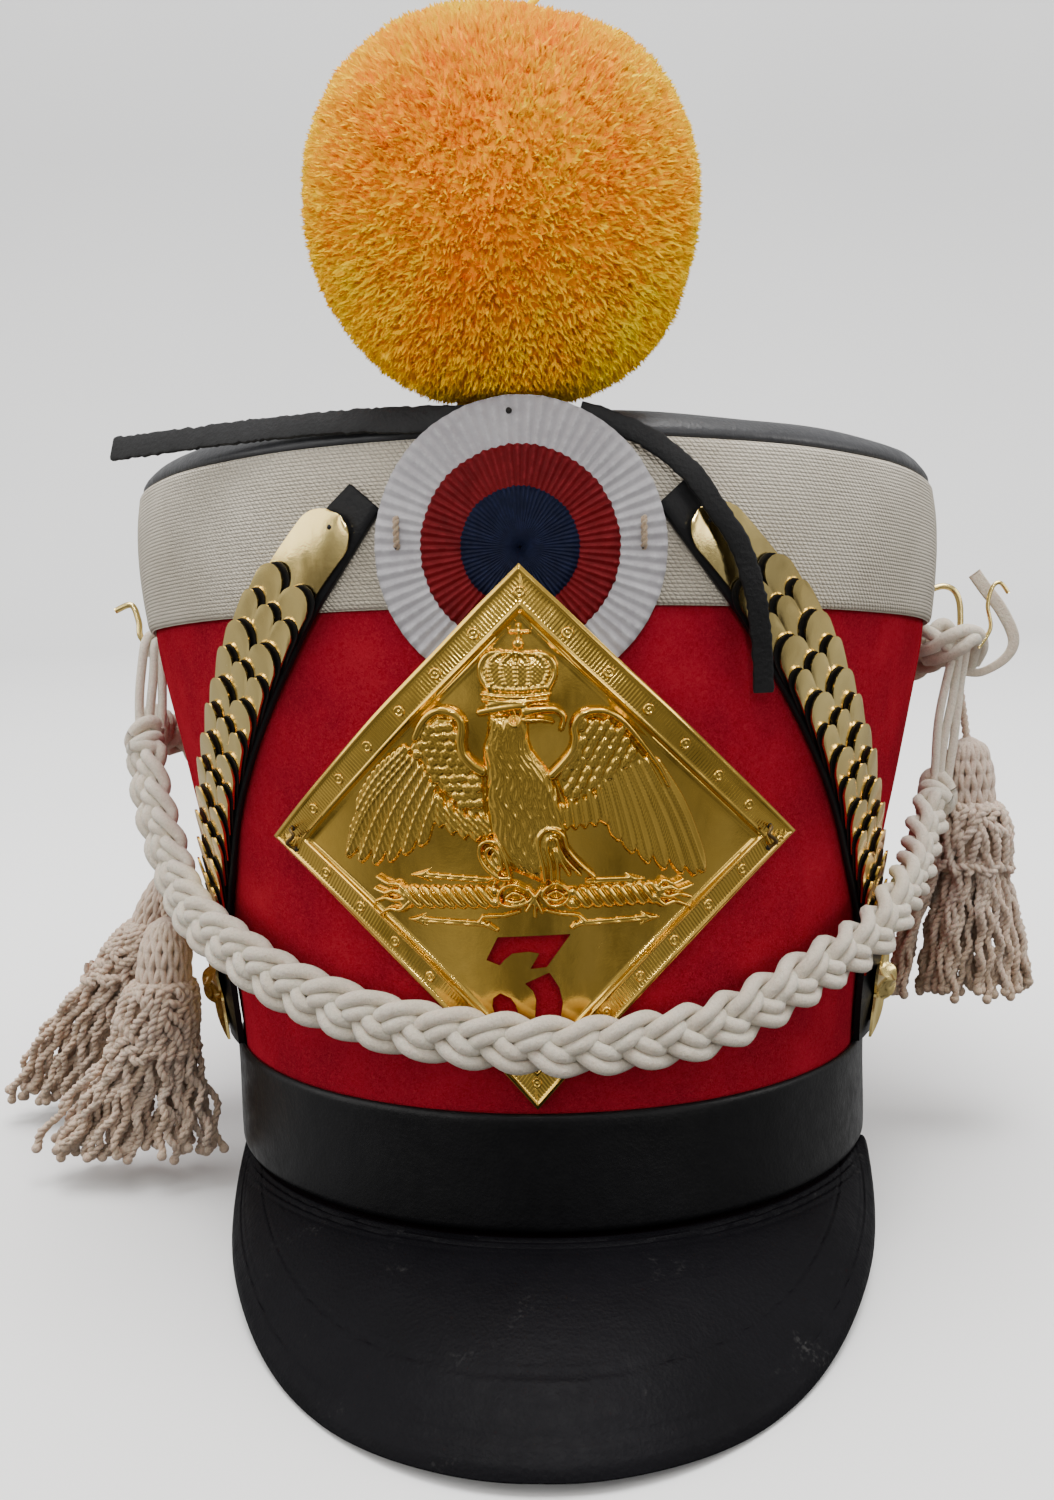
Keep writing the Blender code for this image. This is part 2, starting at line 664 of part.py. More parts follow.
def boss(name, side):
    """The star that holds a strap's lower end, with a round foot that reaches the felt."""
    turn, height, points = side * 77.0, 0.0425, 5
    centre = hat_point(turn, height)
    out = (hat_point(turn, height, 0.01) - centre).normalized()
    up = (hat_point(turn, height + 0.01) - hat_point(turn, height - 0.01)).normalized()
    across = up.cross(out).normalized()
    base, thick, apex = 0.0042, 0.0007, 0.0095
    tip, notch, foot = 0.0168, 0.0074, 0.0045

    def ring(long, short, off):
        made = []
        for k in range(2 * points):
            angle = math.pi * (k / points - 0.5)
            radius = short if k % 2 else long
            turned = across * math.cos(angle) * radius + up * math.sin(angle) * radius
            made.append(centre + turned + out * off)
        return made

    rings = [ring(foot, foot, 0.0004), ring(foot, foot, base), ring(tip, notch, base)]
    rings += [ring(tip, notch, base + thick), ring(0.0009, 0.0009, apex)]
    disc_stack(f"boss_{name}", rings, BRASS, 2 * points, 15.0)


def curve_through(places, spacing):
    """Points evenly along a smooth curve through places."""
    dense = []
    for i in range(len(places) - 1):
        before, after = places[max(i - 1, 0)], places[min(i + 2, len(places) - 1)]
        start, end = places[i], places[i + 1]
        for k in range(20):
            t = k / 20
            bend = (
                start * (2 * t**3 - 3 * t**2 + 1)
                + end * (3 * t**2 - 2 * t**3)
                + (end - before) * 0.5 * (t**3 - 2 * t**2 + t)
                + (after - start) * 0.5 * (t**3 - t**2)
            )
            dense.append(bend)
    dense.append(places[-1])
    runs = [0.0]
    for a, b in zip(dense, dense[1:]):
        runs.append(runs[-1] + (b - a).length)
    count = max(2, round(runs[-1] / spacing))
    even, i = [], 0
    for k in range(count + 1):
        want = runs[-1] * k / count
        while i < len(runs) - 2 and runs[i + 1] < want:
            i += 1
        share = (want - runs[i]) / (runs[i + 1] - runs[i])
        even.append(dense[i].lerp(dense[i + 1], share))
    return even


def tube(name, places, radius, spacing, look, resolution=2):
    """A round cord or wire along a smooth curve through places."""
    curve = bpy.data.curves.new(name, "CURVE")
    curve.dimensions = "3D"
    curve.bevel_depth = radius
    curve.bevel_resolution = resolution
    curve.use_fill_caps = True
    points = curve_through(places, spacing)
    spline = curve.splines.new("POLY")
    spline.points.add(len(points) - 1)
    for point, place in zip(spline.points, points):
        point.co = (*place, 1.0)
    return add(name, curve, look)


def ribbon(name, rows, width, thick, look):
    """A flat leather lace through rows of a place and the direction of its width."""
    places = curve_through([Vector(place) for place, _ in rows], 0.009)
    count = len(places)
    rings = []
    for k, place in enumerate(places):
        position = k / (count - 1) * (len(rows) - 1)
        i = min(int(position), len(rows) - 2)
        wide = Vector(rows[i][1]).lerp(Vector(rows[i + 1][1]), position - i)
        ahead = places[min(k + 1, count - 1)] - places[max(k - 1, 0)]
        normal = ahead.cross(wide).normalized()
        wide = normal.cross(ahead).normalized() * width / 2
        normal *= thick / 2
        rings.append([place - wide - normal, place + wide - normal, place + wide + normal])
        rings[-1].append(place - wide + normal)
    disc_stack(name, rings, look, 4)


def wires_and_laces():
    """The hooks at the sides and the two ends of the lace that ties up the straps."""
    left = ((-0.1090, 0.002, 0.1382), (-0.1140, 0.000, 0.1388), (-0.1168, -0.001, 0.1416))
    left += ((-0.1172, -0.001, 0.1460), (-0.1192, -0.001, 0.1508), (-0.1240, -0.001, 0.1492))
    tube("hook_left", [Vector(p) for p in left], 0.0009, 0.004, BRASS)
    right = ((0.1138, 0.0, 0.1516), (0.1170, 0.0, 0.1523), (0.1200, 0.0, 0.1510))
    right += ((0.1216, 0.0, 0.1470), (0.1218, 0.0, 0.1395))
    tube("hook_right", [Vector(p) for p in right], 0.0009, 0.004, BRASS)
    small = ((0.1262, -0.003, 0.1345), (0.1296, -0.003, 0.1400), (0.1288, -0.003, 0.1465))
    small += ((0.1300, -0.003, 0.1515), (0.1322, -0.003, 0.1530), (0.1346, -0.003, 0.1500))
    tube("hook_small", [Vector(p) for p in small], 0.0006, 0.004, BRASS)
    lace_left = (
        ((-0.0060, -0.1142, 0.1868), (0, -0.2, 1)),
        ((-0.0200, -0.1130, 0.1872), (0, 0.3, 1)),
        ((-0.0400, -0.1058, 0.1880), (0, 0.6, 1)),
        ((-0.0550, -0.0985, 0.1880), (0, 0.6, 1)),
        ((-0.0700, -0.0910, 0.1878), (0, 0.6, 1)),
        ((-0.0850, -0.0840, 0.1872), (0, 0.5, 1)),
        ((-0.0990, -0.0780, 0.1866), (0, 0.4, 1)),
    )
    ribbon("lace_left", lace_left, 0.0060, 0.0014, BLACK_LEATHER)
    lace_right = (
        (hat_point(7.0, 0.1815, 0.0048), (0.5, 0, 1)),
        (hat_point(11.0, 0.1790, 0.0052), (0.6, 0, 1)),
        (hat_point(15.0, 0.1750, 0.0066), (0.7, 0, 0.7)),
        (hat_point(18.7, 0.1680, 0.0092), (0.8, 0, 0.5)),
        (hat_point(21.3, 0.1602, 0.0102), (0.8, 0, 0.5)),
        (hat_point(23.8, 0.1526, 0.0106), (0.9, 0, 0.3)),
        (hat_point(25.8, 0.1411, 0.0102), (1, 0, 0)),
        (hat_point(27.2, 0.1306, 0.0092), (1, 0, 0)),
        (hat_point(28.0, 0.1221, 0.0086), (1, 0, 0)),
    )
    ribbon("lace_right", lace_right, 0.0046, 0.0014, BLACK_LEATHER)


def cords():
    """The plaits and the doubled cords that hang them from the hooks."""
    for name, rows, spacing in (
        ("braid_front", BRAID_FRONT, 0.0120),
        ("braid_back", BRAID_BACK, 0.0135),
    ):
        places = [hat_point(turn, height, off) for turn, height, off in rows]
        tube(name, places, BRAID_RADIUS, spacing, WHITE_CORD)
    right = ((0.1212, -0.001, 0.1365), (0.1195, -0.002, 0.1250), (0.1172, -0.003, 0.1110))
    right += ((0.1158, -0.003, 0.0995),)
    tube("cord_right", [Vector(p) for p in right], 0.0024, 0.008, WHITE_CORD)
    left = ((-0.1112, -0.003, 0.1362), (-0.1118, -0.005, 0.1310), (-0.1122, -0.007, 0.1250))
    left += ((-0.1126, -0.008, 0.1200),)
    tube("cord_left", [Vector(p) for p in left], 0.0024, 0.008, WHITE_CORD)
    loop = ((0.1240, 0.004, 0.1275), (0.1290, 0.004, 0.1275), (0.1356, 0.003, 0.1315))
    loop += ((0.1378, 0.003, 0.1370), (0.1344, 0.003, 0.1450), (0.1298, 0.003, 0.1512))
    loop += ((0.1264, 0.003, 0.1560),)
    tube("cord_loop", [Vector(p) for p in loop], 0.0015, 0.006, WHITE_CORD)


def tassel(name, rows):
    """A tassel: its cord, crocheted head and ruff, and a fringe in locks, as one piece."""
    rings = []
    for index, (x, y, height, half_width, half_depth) in enumerate(rows):
        loose = max(0, index - NECK_RINGS + 1) / (len(rows) - NECK_RINGS)
        ring = []
        for k in range(TASSEL_SIDES):
            angle = 2 * math.pi * k / TASSEL_SIDES
            lock = 1 - 0.20 * loose * (0.5 + 0.5 * math.cos(TASSEL_LOCKS * angle))
            drop = -0.004 * loose * (0.5 - 0.5 * math.cos(TASSEL_LOCKS * angle))
            ring.append(
                Vector((
                    x + half_width * lock * math.cos(angle),
                    y + half_depth * lock * math.sin(angle),
                    height + drop,
                ))
            )
        rings.append(ring)
    disc_stack(name, rings, TASSEL_COTTON, TASSEL_SIDES, 50.0)


def tassels():
    tassel("tassel_right", TASSEL_RIGHT)
    tassel("tassel_left_front", TASSEL_LEFT_FRONT)
    tassel("tassel_left_back", TASSEL_LEFT_BACK)


def pompom():
    """The wool pompom: a slightly square ball of tufts, flat underneath, and its hidden stem."""
    golden = math.pi * (3 - math.sqrt(5))
    tufts = []
    for k in range(POMPOM_TUFTS):
        z = 1 - 2 * (k + 0.5) / POMPOM_TUFTS
        tufts.append(Vector((math.sqrt(1 - z * z) * math.cos(golden * k), math.sqrt(1 - z * z) * math.sin(golden * k), z)))
    shape = bmesh.new()
    bmesh.ops.create_icosphere(shape, subdivisions=4, radius=1.0)
    for vertex in shape.verts:
        way = vertex.co.normalized()
        near = min((way - tuft).length for tuft in tufts)
        square = sum(abs(c) ** 2.35 for c in way) ** (-1 / 2.35)
        radius = POMPOM_RADIUS * (0.945 + 0.05 * (square - 1) / 0.16 + 0.030 * math.cos(min(near / 0.17, 1.0) * math.pi))
        vertex.co = POMPOM_CENTRE + way * radius
        vertex.co.z = max(vertex.co.z, POMPOM_FOOT)
    mesh = bpy.data.meshes.new("pompom")
    shape.to_mesh(mesh)
    shape.free()
    add("pompom", mesh, ORANGE_WOOL, 180.0)
    corners = [(-0.0025, 0.0), (0.0025, 0.0), (0.0025, 0.0012), (-0.0025, 0.0012)]
    rings = [
        [Vector((COCKADE_CENTRE.x + x, -0.1142 - depth, height)) for x, depth in corners]
        for height in (0.1795, POMPOM_FOOT - 0.0005)
    ]
    disc_stack("pompom_stem", rings, BRASS, 4)


def stand():
    """Tips the hat back onto its peak, over the middle of the floor that it covers."""
    HAT.rotation_euler = (-TILT, 0.0, 0.0)
    bpy.context.view_layer.update()
    graph = bpy.context.evaluated_depsgraph_get()
    low, high = Vector((1, 1, 1)), Vector((-1, -1, -1))
    for piece in HAT.children:
        if not piece.name.startswith(("braid", "cord", "tassel", "lace")):
            solid = piece.evaluated_get(graph)
            mesh = solid.to_mesh()
            for vertex in mesh.vertices:
                place = solid.matrix_world @ vertex.co
                low = Vector(map(min, low, place))
                high = Vector(map(max, high, place))
            solid.to_mesh_clear()
    HAT.location = (-(low.x + high.x) / 2, -(low.y + high.y) / 2, -low.z)
    print("hat stands at", [round(c, 5) for c in HAT.location])


for leftover in list(bpy.data.objects):
    bpy.data.objects.remove(leftover)
HAT = bpy.data.objects.new("hat", None)
bpy.context.scene.collection.objects.link(HAT)
body_and_bands()
peak()
cockade()
plate()
chin_strap("left", -1)
chin_strap("right", 1)
wires_and_laces()
cords()
tassels()
pompom()
stand()
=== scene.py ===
"""The looks of a soldier's shako hat, dressed over its solid parts.

Metres. Most pieces are made in the hat's own upright frame, where a place is told as (turn, height, off):
degrees round from the front, distance up the hat, and distance out from the felt. world() then tips and
sets that frame down as the hat stands on its peak. Small things are sized in millimetres, times MM.
"""

import math
import bpy
import numpy as np
from mathutils import Matrix, Vector

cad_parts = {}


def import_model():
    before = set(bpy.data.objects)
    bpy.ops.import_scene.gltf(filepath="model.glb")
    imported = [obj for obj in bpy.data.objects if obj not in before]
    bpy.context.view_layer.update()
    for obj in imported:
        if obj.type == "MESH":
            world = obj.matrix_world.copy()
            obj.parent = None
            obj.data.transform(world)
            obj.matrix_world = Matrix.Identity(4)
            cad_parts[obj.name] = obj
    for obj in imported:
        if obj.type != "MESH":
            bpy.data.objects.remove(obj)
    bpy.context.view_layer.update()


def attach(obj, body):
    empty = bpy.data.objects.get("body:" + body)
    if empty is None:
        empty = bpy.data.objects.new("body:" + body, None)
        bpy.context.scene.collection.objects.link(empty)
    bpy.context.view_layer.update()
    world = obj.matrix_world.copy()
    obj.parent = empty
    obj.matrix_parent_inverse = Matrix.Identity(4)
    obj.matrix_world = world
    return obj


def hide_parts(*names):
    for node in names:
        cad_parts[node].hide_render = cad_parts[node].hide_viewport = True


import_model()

MM = 0.001
TILT = math.radians(7.1)
PLACE = np.array([-0.00536, 0.01197, 0.01217])
RANDOM = np.random.default_rng(7)
BODY_HEIGHT, RAKE, LEAN = 0.177, 0.055, 0.0023
FRONT_RADIUS, MEAN_RADIUS, STRAP_RADIUS = 0.1038, 0.108, 0.105
GOLDEN_ANGLE = math.pi * (3 - math.sqrt(5))

FELT_SHAPE = (
    # height, half_width, half_depth
    (0.000, 0.0881, 0.0966),
    (0.029, 0.0886, 0.0971),
    (0.076, 0.0956, 0.1015),
    (0.102, 0.1010, 0.1052),
    (0.127, 0.1060, 0.1090),
    (0.141, 0.1082, 0.1104),
    (0.177, 0.1090, 0.1114),
    (0.200, 0.1090, 0.1114),
)
STRAP_ROUTE = (
    # height, turn, inner_half_width, outer_half_width
    (0.050, 70.5, 0.0072, 0.0068),
    (0.072, 62.3, 0.0080, 0.0068),
    (0.084, 56.9, 0.0082, 0.0068),
    (0.094, 52.7, 0.0082, 0.0068),
    (0.104, 48.3, 0.0082, 0.0068),
    (0.114, 43.6, 0.0082, 0.0068),
    (0.126, 37.8, 0.0082, 0.0068),
    (0.136, 32.6, 0.0080, 0.0068),
    (0.143, 28.8, 0.0074, 0.0066),
    (0.1545, 22.6, 0.0062, 0.0058),
    (0.165, 17.2, 0.0044, 0.0044),
)
STRAP_THICK = 0.0016
SCALES, SCALE_RISE, SCALE_INNER, SCALE_OUTER = 14, 0.14, 0.0072, 0.0086
PEAK_RISE = (
    (0.0, 0.0023),
    (16.0, 0.0016),
    (30.0, 0.0002),
    (36.0, 0.0000),
    (42.0, 0.0002),
    (48.0, 0.0010),
    (60.0, 0.0034),
    (74.0, 0.0050),
    (82.0, 0.0085),
    (88.0, 0.0125),
)
PLATE_STAND = (
    (0.028, 0.0006),
    (0.060, 0.0008),
    (0.085, 0.0015),
    (0.105, 0.0036),
    (0.118, 0.0056),
    (0.130, 0.0059),
    (0.152, 0.0062),
)
BRAID_FRONT = (
    # turn, height, off
    (-86.0, 0.1105, 0.0128),
    (-80.0, 0.0950, 0.0126),
    (-71.5, 0.0775, 0.0108),
    (-59.5, 0.0680, 0.0104),
    (-47.0, 0.0615, 0.0092),
    (-37.5, 0.0560, 0.0082),
    (-29.0, 0.0526, 0.0076),
    (-20.5, 0.0499, 0.0076),
    (-11.0, 0.0481, 0.0076),
    (-2.0, 0.0468, 0.0076),
    (7.2, 0.0460, 0.0076),
    (22.5, 0.0475, 0.0076),
    (34.0, 0.0530, 0.0082),
    (41.0, 0.0575, 0.0088),
    (48.0, 0.0602, 0.0094),
    (56.0, 0.0643, 0.0103),
    (63.0, 0.0705, 0.0106),
    (74.0, 0.0760, 0.0104),
    (81.0, 0.0823, 0.0112),
    (88.5, 0.0920, 0.0146),
)
BRAID_BACK = (
    (95.0, 0.1360, 0.0100),
    (104.0, 0.1320, 0.0080),
    (116.0, 0.1240, 0.0072),
    (130.0, 0.1120, 0.0068),
    (147.0, 0.1000, 0.0066),
    (164.0, 0.0920, 0.0066),
    (181.0, 0.0885, 0.0066),
    (198.0, 0.0875, 0.0066),
    (215.0, 0.0900, 0.0066),
    (232.0, 0.0960, 0.0068),
    (248.0, 0.1040, 0.0074),
    (258.0, 0.1100, 0.0090),
    (265.0, 0.1140, 0.0130),
)
TASSEL_RIGHT = (
    # x, y, height, half_width, half_depth
    (0.1215, 0.004, 0.1315, 0.0012, 0.0012),
    (0.1248, 0.004, 0.1080, 0.0012, 0.0012),
    (0.1252, 0.004, 0.1055, 0.0055, 0.0055),
    (0.1254, 0.005, 0.0980, 0.0076, 0.0076),
    (0.1256, 0.006, 0.0890, 0.0080, 0.0080),
    (0.1260, 0.006, 0.0870, 0.0102, 0.0098),
    (0.1266, 0.007, 0.0800, 0.0138, 0.0124),
    (0.1264, 0.008, 0.0715, 0.0130, 0.0116),
    (0.1262, 0.008, 0.0690, 0.0134, 0.0110),
    (0.1256, 0.010, 0.0520, 0.0196, 0.0126),
    (0.1254, 0.012, 0.0330, 0.0232, 0.0138),
)
TASSEL_LEFT_FRONT = (
    (-0.1110, -0.016, 0.0920, 0.0012, 0.0012),
    (-0.1050, -0.026, 0.0620, 0.0012, 0.0012),
    (-0.1046, -0.027, 0.0600, 0.0055, 0.0055),
    (-0.1048, -0.028, 0.0540, 0.0074, 0.0074),
    (-0.1056, -0.028, 0.0450, 0.0078, 0.0078),
    (-0.1064, -0.028, 0.0425, 0.0100, 0.0092),
    (-0.1082, -0.027, 0.0345, 0.0132, 0.0112),
    (-0.1094, -0.026, 0.0270, 0.0130, 0.0106),
    (-0.1100, -0.026, 0.0240, 0.0140, 0.0104),
    (-0.1144, -0.024, 0.0110, 0.0222, 0.0116),
    (-0.1186, -0.023, -0.0035, 0.0288, 0.0124),
)
TASSEL_LEFT_BACK = (
    (-0.1145, 0.000, 0.0930, 0.0012, 0.0012),
    (-0.1120, 0.006, 0.0700, 0.0012, 0.0012),
    (-0.1125, 0.007, 0.0680, 0.0055, 0.0055),
    (-0.1150, 0.008, 0.0620, 0.0074, 0.0074),
    (-0.1180, 0.009, 0.0550, 0.0078, 0.0078),
    (-0.1195, 0.009, 0.0525, 0.0100, 0.0092),
    (-0.1230, 0.010, 0.0465, 0.0132, 0.0112),
    (-0.1262, 0.011, 0.0400, 0.0136, 0.0106),
    (-0.1280, 0.011, 0.0370, 0.0150, 0.0104),
    (-0.1380, 0.014, 0.0190, 0.0204, 0.0116),
    (-0.1480, 0.018, 0.0000, 0.0218, 0.0124),
)


# ---- places ------------------------------------------------------------------------------------


def smooth(rows, column=1):
    """A quick function that reads one column of a table along a smooth curve through its rows."""
    rows = np.array(rows, float)
    at, values = rows[:, 0], rows[:, column]
    slopes = np.empty(len(at))
    slopes[1:-1] = (values[2:] - values[:-2]) / (at[2:] - at[:-2])
    slopes[0] = (values[1] - values[0]) / (at[1] - at[0])
    slopes[-1] = (values[-1] - values[-2]) / (at[-1] - at[-2])
    fine = np.linspace(at[0], at[-1], 2001)
    i = np.clip(np.searchsorted(at, fine, "right") - 1, 0, len(at) - 2)
    span = at[i + 1] - at[i]
    t = (fine - at[i]) / span
    curve = values[i] * (2 * t**3 - 3 * t**2 + 1) + values[i + 1] * (3 * t**2 - 2 * t**3)
    curve += span * (slopes[i] * (t**3 - 2 * t**2 + t) + slopes[i + 1] * (t**3 - t**2))
    return lambda where: np.interp(where, fine, curve)


HALF_WIDTH, HALF_DEPTH = smooth(FELT_SHAPE, 1), smooth(FELT_SHAPE, 2)


def hat(turn, height, off=0.0):
    """Places at turns and heights, off the felt, in the hat's own frame."""
    turn, height, off = np.broadcast_arrays(*(np.asarray(v, float) for v in (turn, height, off)))
    angle = np.radians(turn)
    y = -(HALF_DEPTH(height) + off) * np.cos(angle)
    x = (HALF_WIDTH(height) + off) * np.sin(angle) + LEAN * (1 - height / BODY_HEIGHT)
    z = height - RAKE * np.clip((height - 0.029) / 0.112, 0, 1) * y
    return np.stack([x, y, z], -1)


def world(points):
    """Places in the hat's own frame, as the hat stands."""
    x, y, z = np.moveaxis(np.asarray(points, float), -1, 0)
    c, s = math.cos(TILT), math.sin(TILT)
    return np.stack([x, y * c + z * s, z * c - y * s], -1) + PLACE


def run_along(path):
    """How far along a path each of its points lies."""
    return np.concatenate([[0], np.cumsum(np.linalg.norm(np.diff(path, axis=0), axis=1))])


def along(places, spacing):
    """Evenly spaced points on a smooth curve through places."""
    p = np.asarray(places, float)
    before, after = np.vstack([p[:1], p[:-2]]), np.vstack([p[2:], p[-1:]])
    t = (np.arange(20) / 20)[:, None]
    dense = []
    for a, b, a0, b1 in zip(p[:-1], p[1:], before, after):
        curve = a * (2 * t**3 - 3 * t**2 + 1) + b * (3 * t**2 - 2 * t**3)
        curve += (b - a0) * 0.5 * (t**3 - 2 * t**2 + t) + (b1 - a) * 0.5 * (t**3 - t**2)
        dense.append(curve)
    dense = np.vstack([*dense, p[-1:]])
    runs = run_along(dense)
    want = np.linspace(0, runs[-1], max(3, round(runs[-1] / spacing) + 1))
    return np.stack([np.interp(want, runs, dense[:, k]) for k in range(3)], -1)


def unit(v):
    return v / np.maximum(np.linalg.norm(v, axis=-1, keepdims=True), 1e-12)


def frames_along(path, lean=None):
    """The way ahead and two square directions at each point of a path, with no sudden turns."""
    ahead = unit(np.gradient(path, axis=0))
    if lean is not None:
        out = unit(lean - ahead * np.sum(lean * ahead, -1, keepdims=True))
        return ahead, out, np.cross(ahead, out)
    side = np.cross(ahead[0], [0.31, 0.17, 0.93])
    outs = []
    for way in ahead:
        side = side - way * np.dot(side, way)
        side = side / np.linalg.norm(side)
        outs.append(side)
    out = np.array(outs)
    return ahead, out, np.cross(ahead, out)


# ---- meshes ------------------------------------------------------------------------------------


def circle(sides):
    """Even angles all round."""
    return 2 * np.pi * np.arange(sides) / sides


def spread(rows, columns):
    """Two ranges of values over a grid of points."""
    return np.meshgrid(rows, columns, indexing="ij")


def grid_faces(rows, columns, round_rows=False, round_columns=False):
    """Quads over a grid of points, which may close on itself either way."""
    r = np.arange(rows if round_rows else rows - 1)
    c = np.arange(columns if round_columns else columns - 1)
    r, c = (v.ravel() for v in np.meshgrid(r, c, indexing="ij"))
    r2, c2 = (r + 1) % rows, (c + 1) % columns
    return np.stack([r * columns + c, r * columns + c2, r2 * columns + c2, r2 * columns + c], 1)


def tube_faces(rings, sides):
    """Quads round a tube of rings, facing out."""
    return grid_faces(rings, sides, False, True)[:, ::-1]


def fan(low, sides, tip, outward):
    """Triangles from a ring of points, from number low on, to the one at its tip."""
    here = np.arange(sides)
    after = (here + 1) % sides + low
    here, tip = here + low, np.full(sides, tip)
    return np.stack([here, after, tip] if outward else [here, tip, after], 1)


def closed_tube(rings, sides):
    """The faces of a tube of rings, whose two end points come after all of the rings."""
    count = rings * sides
    ends = [fan(0, sides, count, False), fan(count - sides, sides, count + 1, True)]
    return tube_faces(rings, sides), np.vstack(ends)


def round_shell(down, sides):
    """Ways out from the middle of a ball, in rings at angles down from its top."""
    u, a = spread(down, circle(sides))
    return np.stack([np.sin(u) * np.cos(a), np.sin(u) * np.sin(a), np.cos(u)], -1).reshape(-1, 3)


class Pile:
    """Points, faces and surface coordinates gathered from many small shapes for one piece."""

    def __init__(self):
        self.points, self.quads, self.triangles, self.uvs, self.tones = [], [], [], [], []
        self.count = 0

    def add(self, points, quads=(), triangles=(), uv=None, tone=0.0):
        points = np.asarray(points, float).reshape(-1, 3)
        self.points.append(points)
        for faces, kept in ((quads, self.quads), (triangles, self.triangles)):
            if len(faces):
                kept.append(np.asarray(faces) + self.count)
        self.uvs.append(np.zeros((len(points), 2)) if uv is None else np.asarray(uv).reshape(-1, 2))
        self.tones.append(np.broadcast_to(np.asarray(tone, float), (len(points),)))
        self.count += len(points)
        return self

    def tube(self, path, radius, sides=8, tone=0.0):
        """A round cord along a path, closed at its ends."""
        path = np.asarray(path, float)
        rings = len(path)
        _, out, side = frames_along(path)
        angle = circle(sides)
        radius = np.broadcast_to(np.asarray(radius, float), (rings,))[:, None, None]
        spoke = out[:, None] * np.cos(angle)[:, None] + side[:, None] * np.sin(angle)[:, None]
        points = (path[:, None] + spoke * radius).reshape(-1, 3)
        uv = np.stack(spread(run_along(path), np.arange(sides) / sides), -1).reshape(-1, 2)
        tone = np.broadcast_to(np.asarray(tone, float), (rings,))
        tone = np.concatenate([np.repeat(tone, sides), tone[:1], tone[-1:]])
        quads, ends = closed_tube(rings, sides)
        points, uv = np.vstack([points, path[:1], path[-1:]]), np.vstack([uv, uv[:1], uv[-1:]])
        return self.add(points, quads, ends, uv, tone)

    def twisted(self, path, radius, pitch, tone, sides=6, turn=0.0):
        """A cord of two plies twisted round each other."""
        path = np.asarray(path, float)
        _, out, side = frames_along(path)
        runs = run_along(path)
        for ply in (0, 0.5):
            angle = (turn + 2 * np.pi * (runs / pitch + ply))[:, None]
            middle = path + (out * np.cos(angle) + side * np.sin(angle)) * radius * 0.46
            self.tube(middle, radius * 0.60, sides, tone)
        return self

    def ball(self, centre, radius, tone=0.0, rows=6, sides=8):
        points = round_shell(np.linspace(0, np.pi, rows + 1)[1:-1], sides) * radius + centre
        tips = np.array([[0, 0, radius], [0, 0, -radius]]) + centre
        count = len(points)
        ends = np.vstack([fan(0, sides, count, True), fan(count - sides, sides, count + 1, False)])
        quads = tube_faces(rows - 1, sides)
        return self.add(np.vstack([points, tips]), quads, ends, tone=tone)

    def sheet(self, low, high, uv, flip=False):
        """A thin sheet of two grids of points, joined all round its edge."""
        rows, columns = low.shape[:2]
        count = rows * columns
        faces = grid_faces(rows, columns)
        ring = [i * columns for i in range(rows - 1)]
        ring += [(rows - 1) * columns + j for j in range(columns - 1)]
        ring += [i * columns + columns - 1 for i in range(rows - 1, 0, -1)]
        ring = np.array(ring + list(range(columns - 1, 0, -1)))
        after = np.roll(ring, -1)
        skirt = np.stack([ring, after, after + count, ring + count], 1)
        both = np.vstack([faces, faces[:, ::-1] + count, skirt[:, ::-1]])
        points, uv = np.vstack([low.reshape(-1, 3), high.reshape(-1, 3)]), uv.reshape(-1, 2)
        return self.add(points, both[:, ::-1] if flip else both, uv=np.vstack([uv, uv]))

    def piece(self, name, look, slot, nodes=(), sharp=None):
        """Makes the piece, as the hat stands, in place of CAD nodes."""
        points = world(np.vstack(self.points))
        quads = np.vstack([np.zeros((0, 4), int), *self.quads])
        triangles = np.vstack([np.zeros((0, 3), int), *self.triangles])
        mesh = bpy.data.meshes.new(name)
        corners = np.concatenate([quads.ravel(), triangles.ravel()])
        sizes = np.concatenate([np.full(len(quads), 4), np.full(len(triangles), 3)])
        mesh.vertices.add(len(points))
        mesh.vertices.foreach_set("co", points.ravel())
        mesh.loops.add(len(corners))
        mesh.loops.foreach_set("vertex_index", corners)
        mesh.polygons.add(len(sizes))
        mesh.polygons.foreach_set("loop_start", np.concatenate([[0], np.cumsum(sizes)[:-1]]))
        mesh.update(calc_edges=True)
        mesh.validate()
        used = np.zeros(len(mesh.loops), np.int32)
        mesh.loops.foreach_get("vertex_index", used)
        layer = mesh.uv_layers.new(name="UVMap")
        layer.data.foreach_set("uv", np.vstack(self.uvs)[used].ravel())
        tone = mesh.attributes.new("tone", "FLOAT", "POINT")
        tone.data.foreach_set("value", np.concatenate(self.tones))
        mesh.shade_smooth()
        if sharp is not None:
            mesh.set_sharp_from_angle(angle=math.radians(sharp))
        made = bpy.data.objects.new(name, mesh)
        bpy.context.scene.collection.objects.link(made)
        mesh.materials.append(look.material)
        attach(made, "root")
        if nodes:
            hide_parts(*nodes)
        return made


def ripples(size, *waves, base=0.0):
    """Slight unevenness round the hat, from waves of (weight, turns, rise, start)."""

    def uneven(h, t):
        a = np.radians(t)
        return size * sum(w * np.sin(turns * a + rise * h + start) for w, turns, rise, start in waves) + base

    return uneven


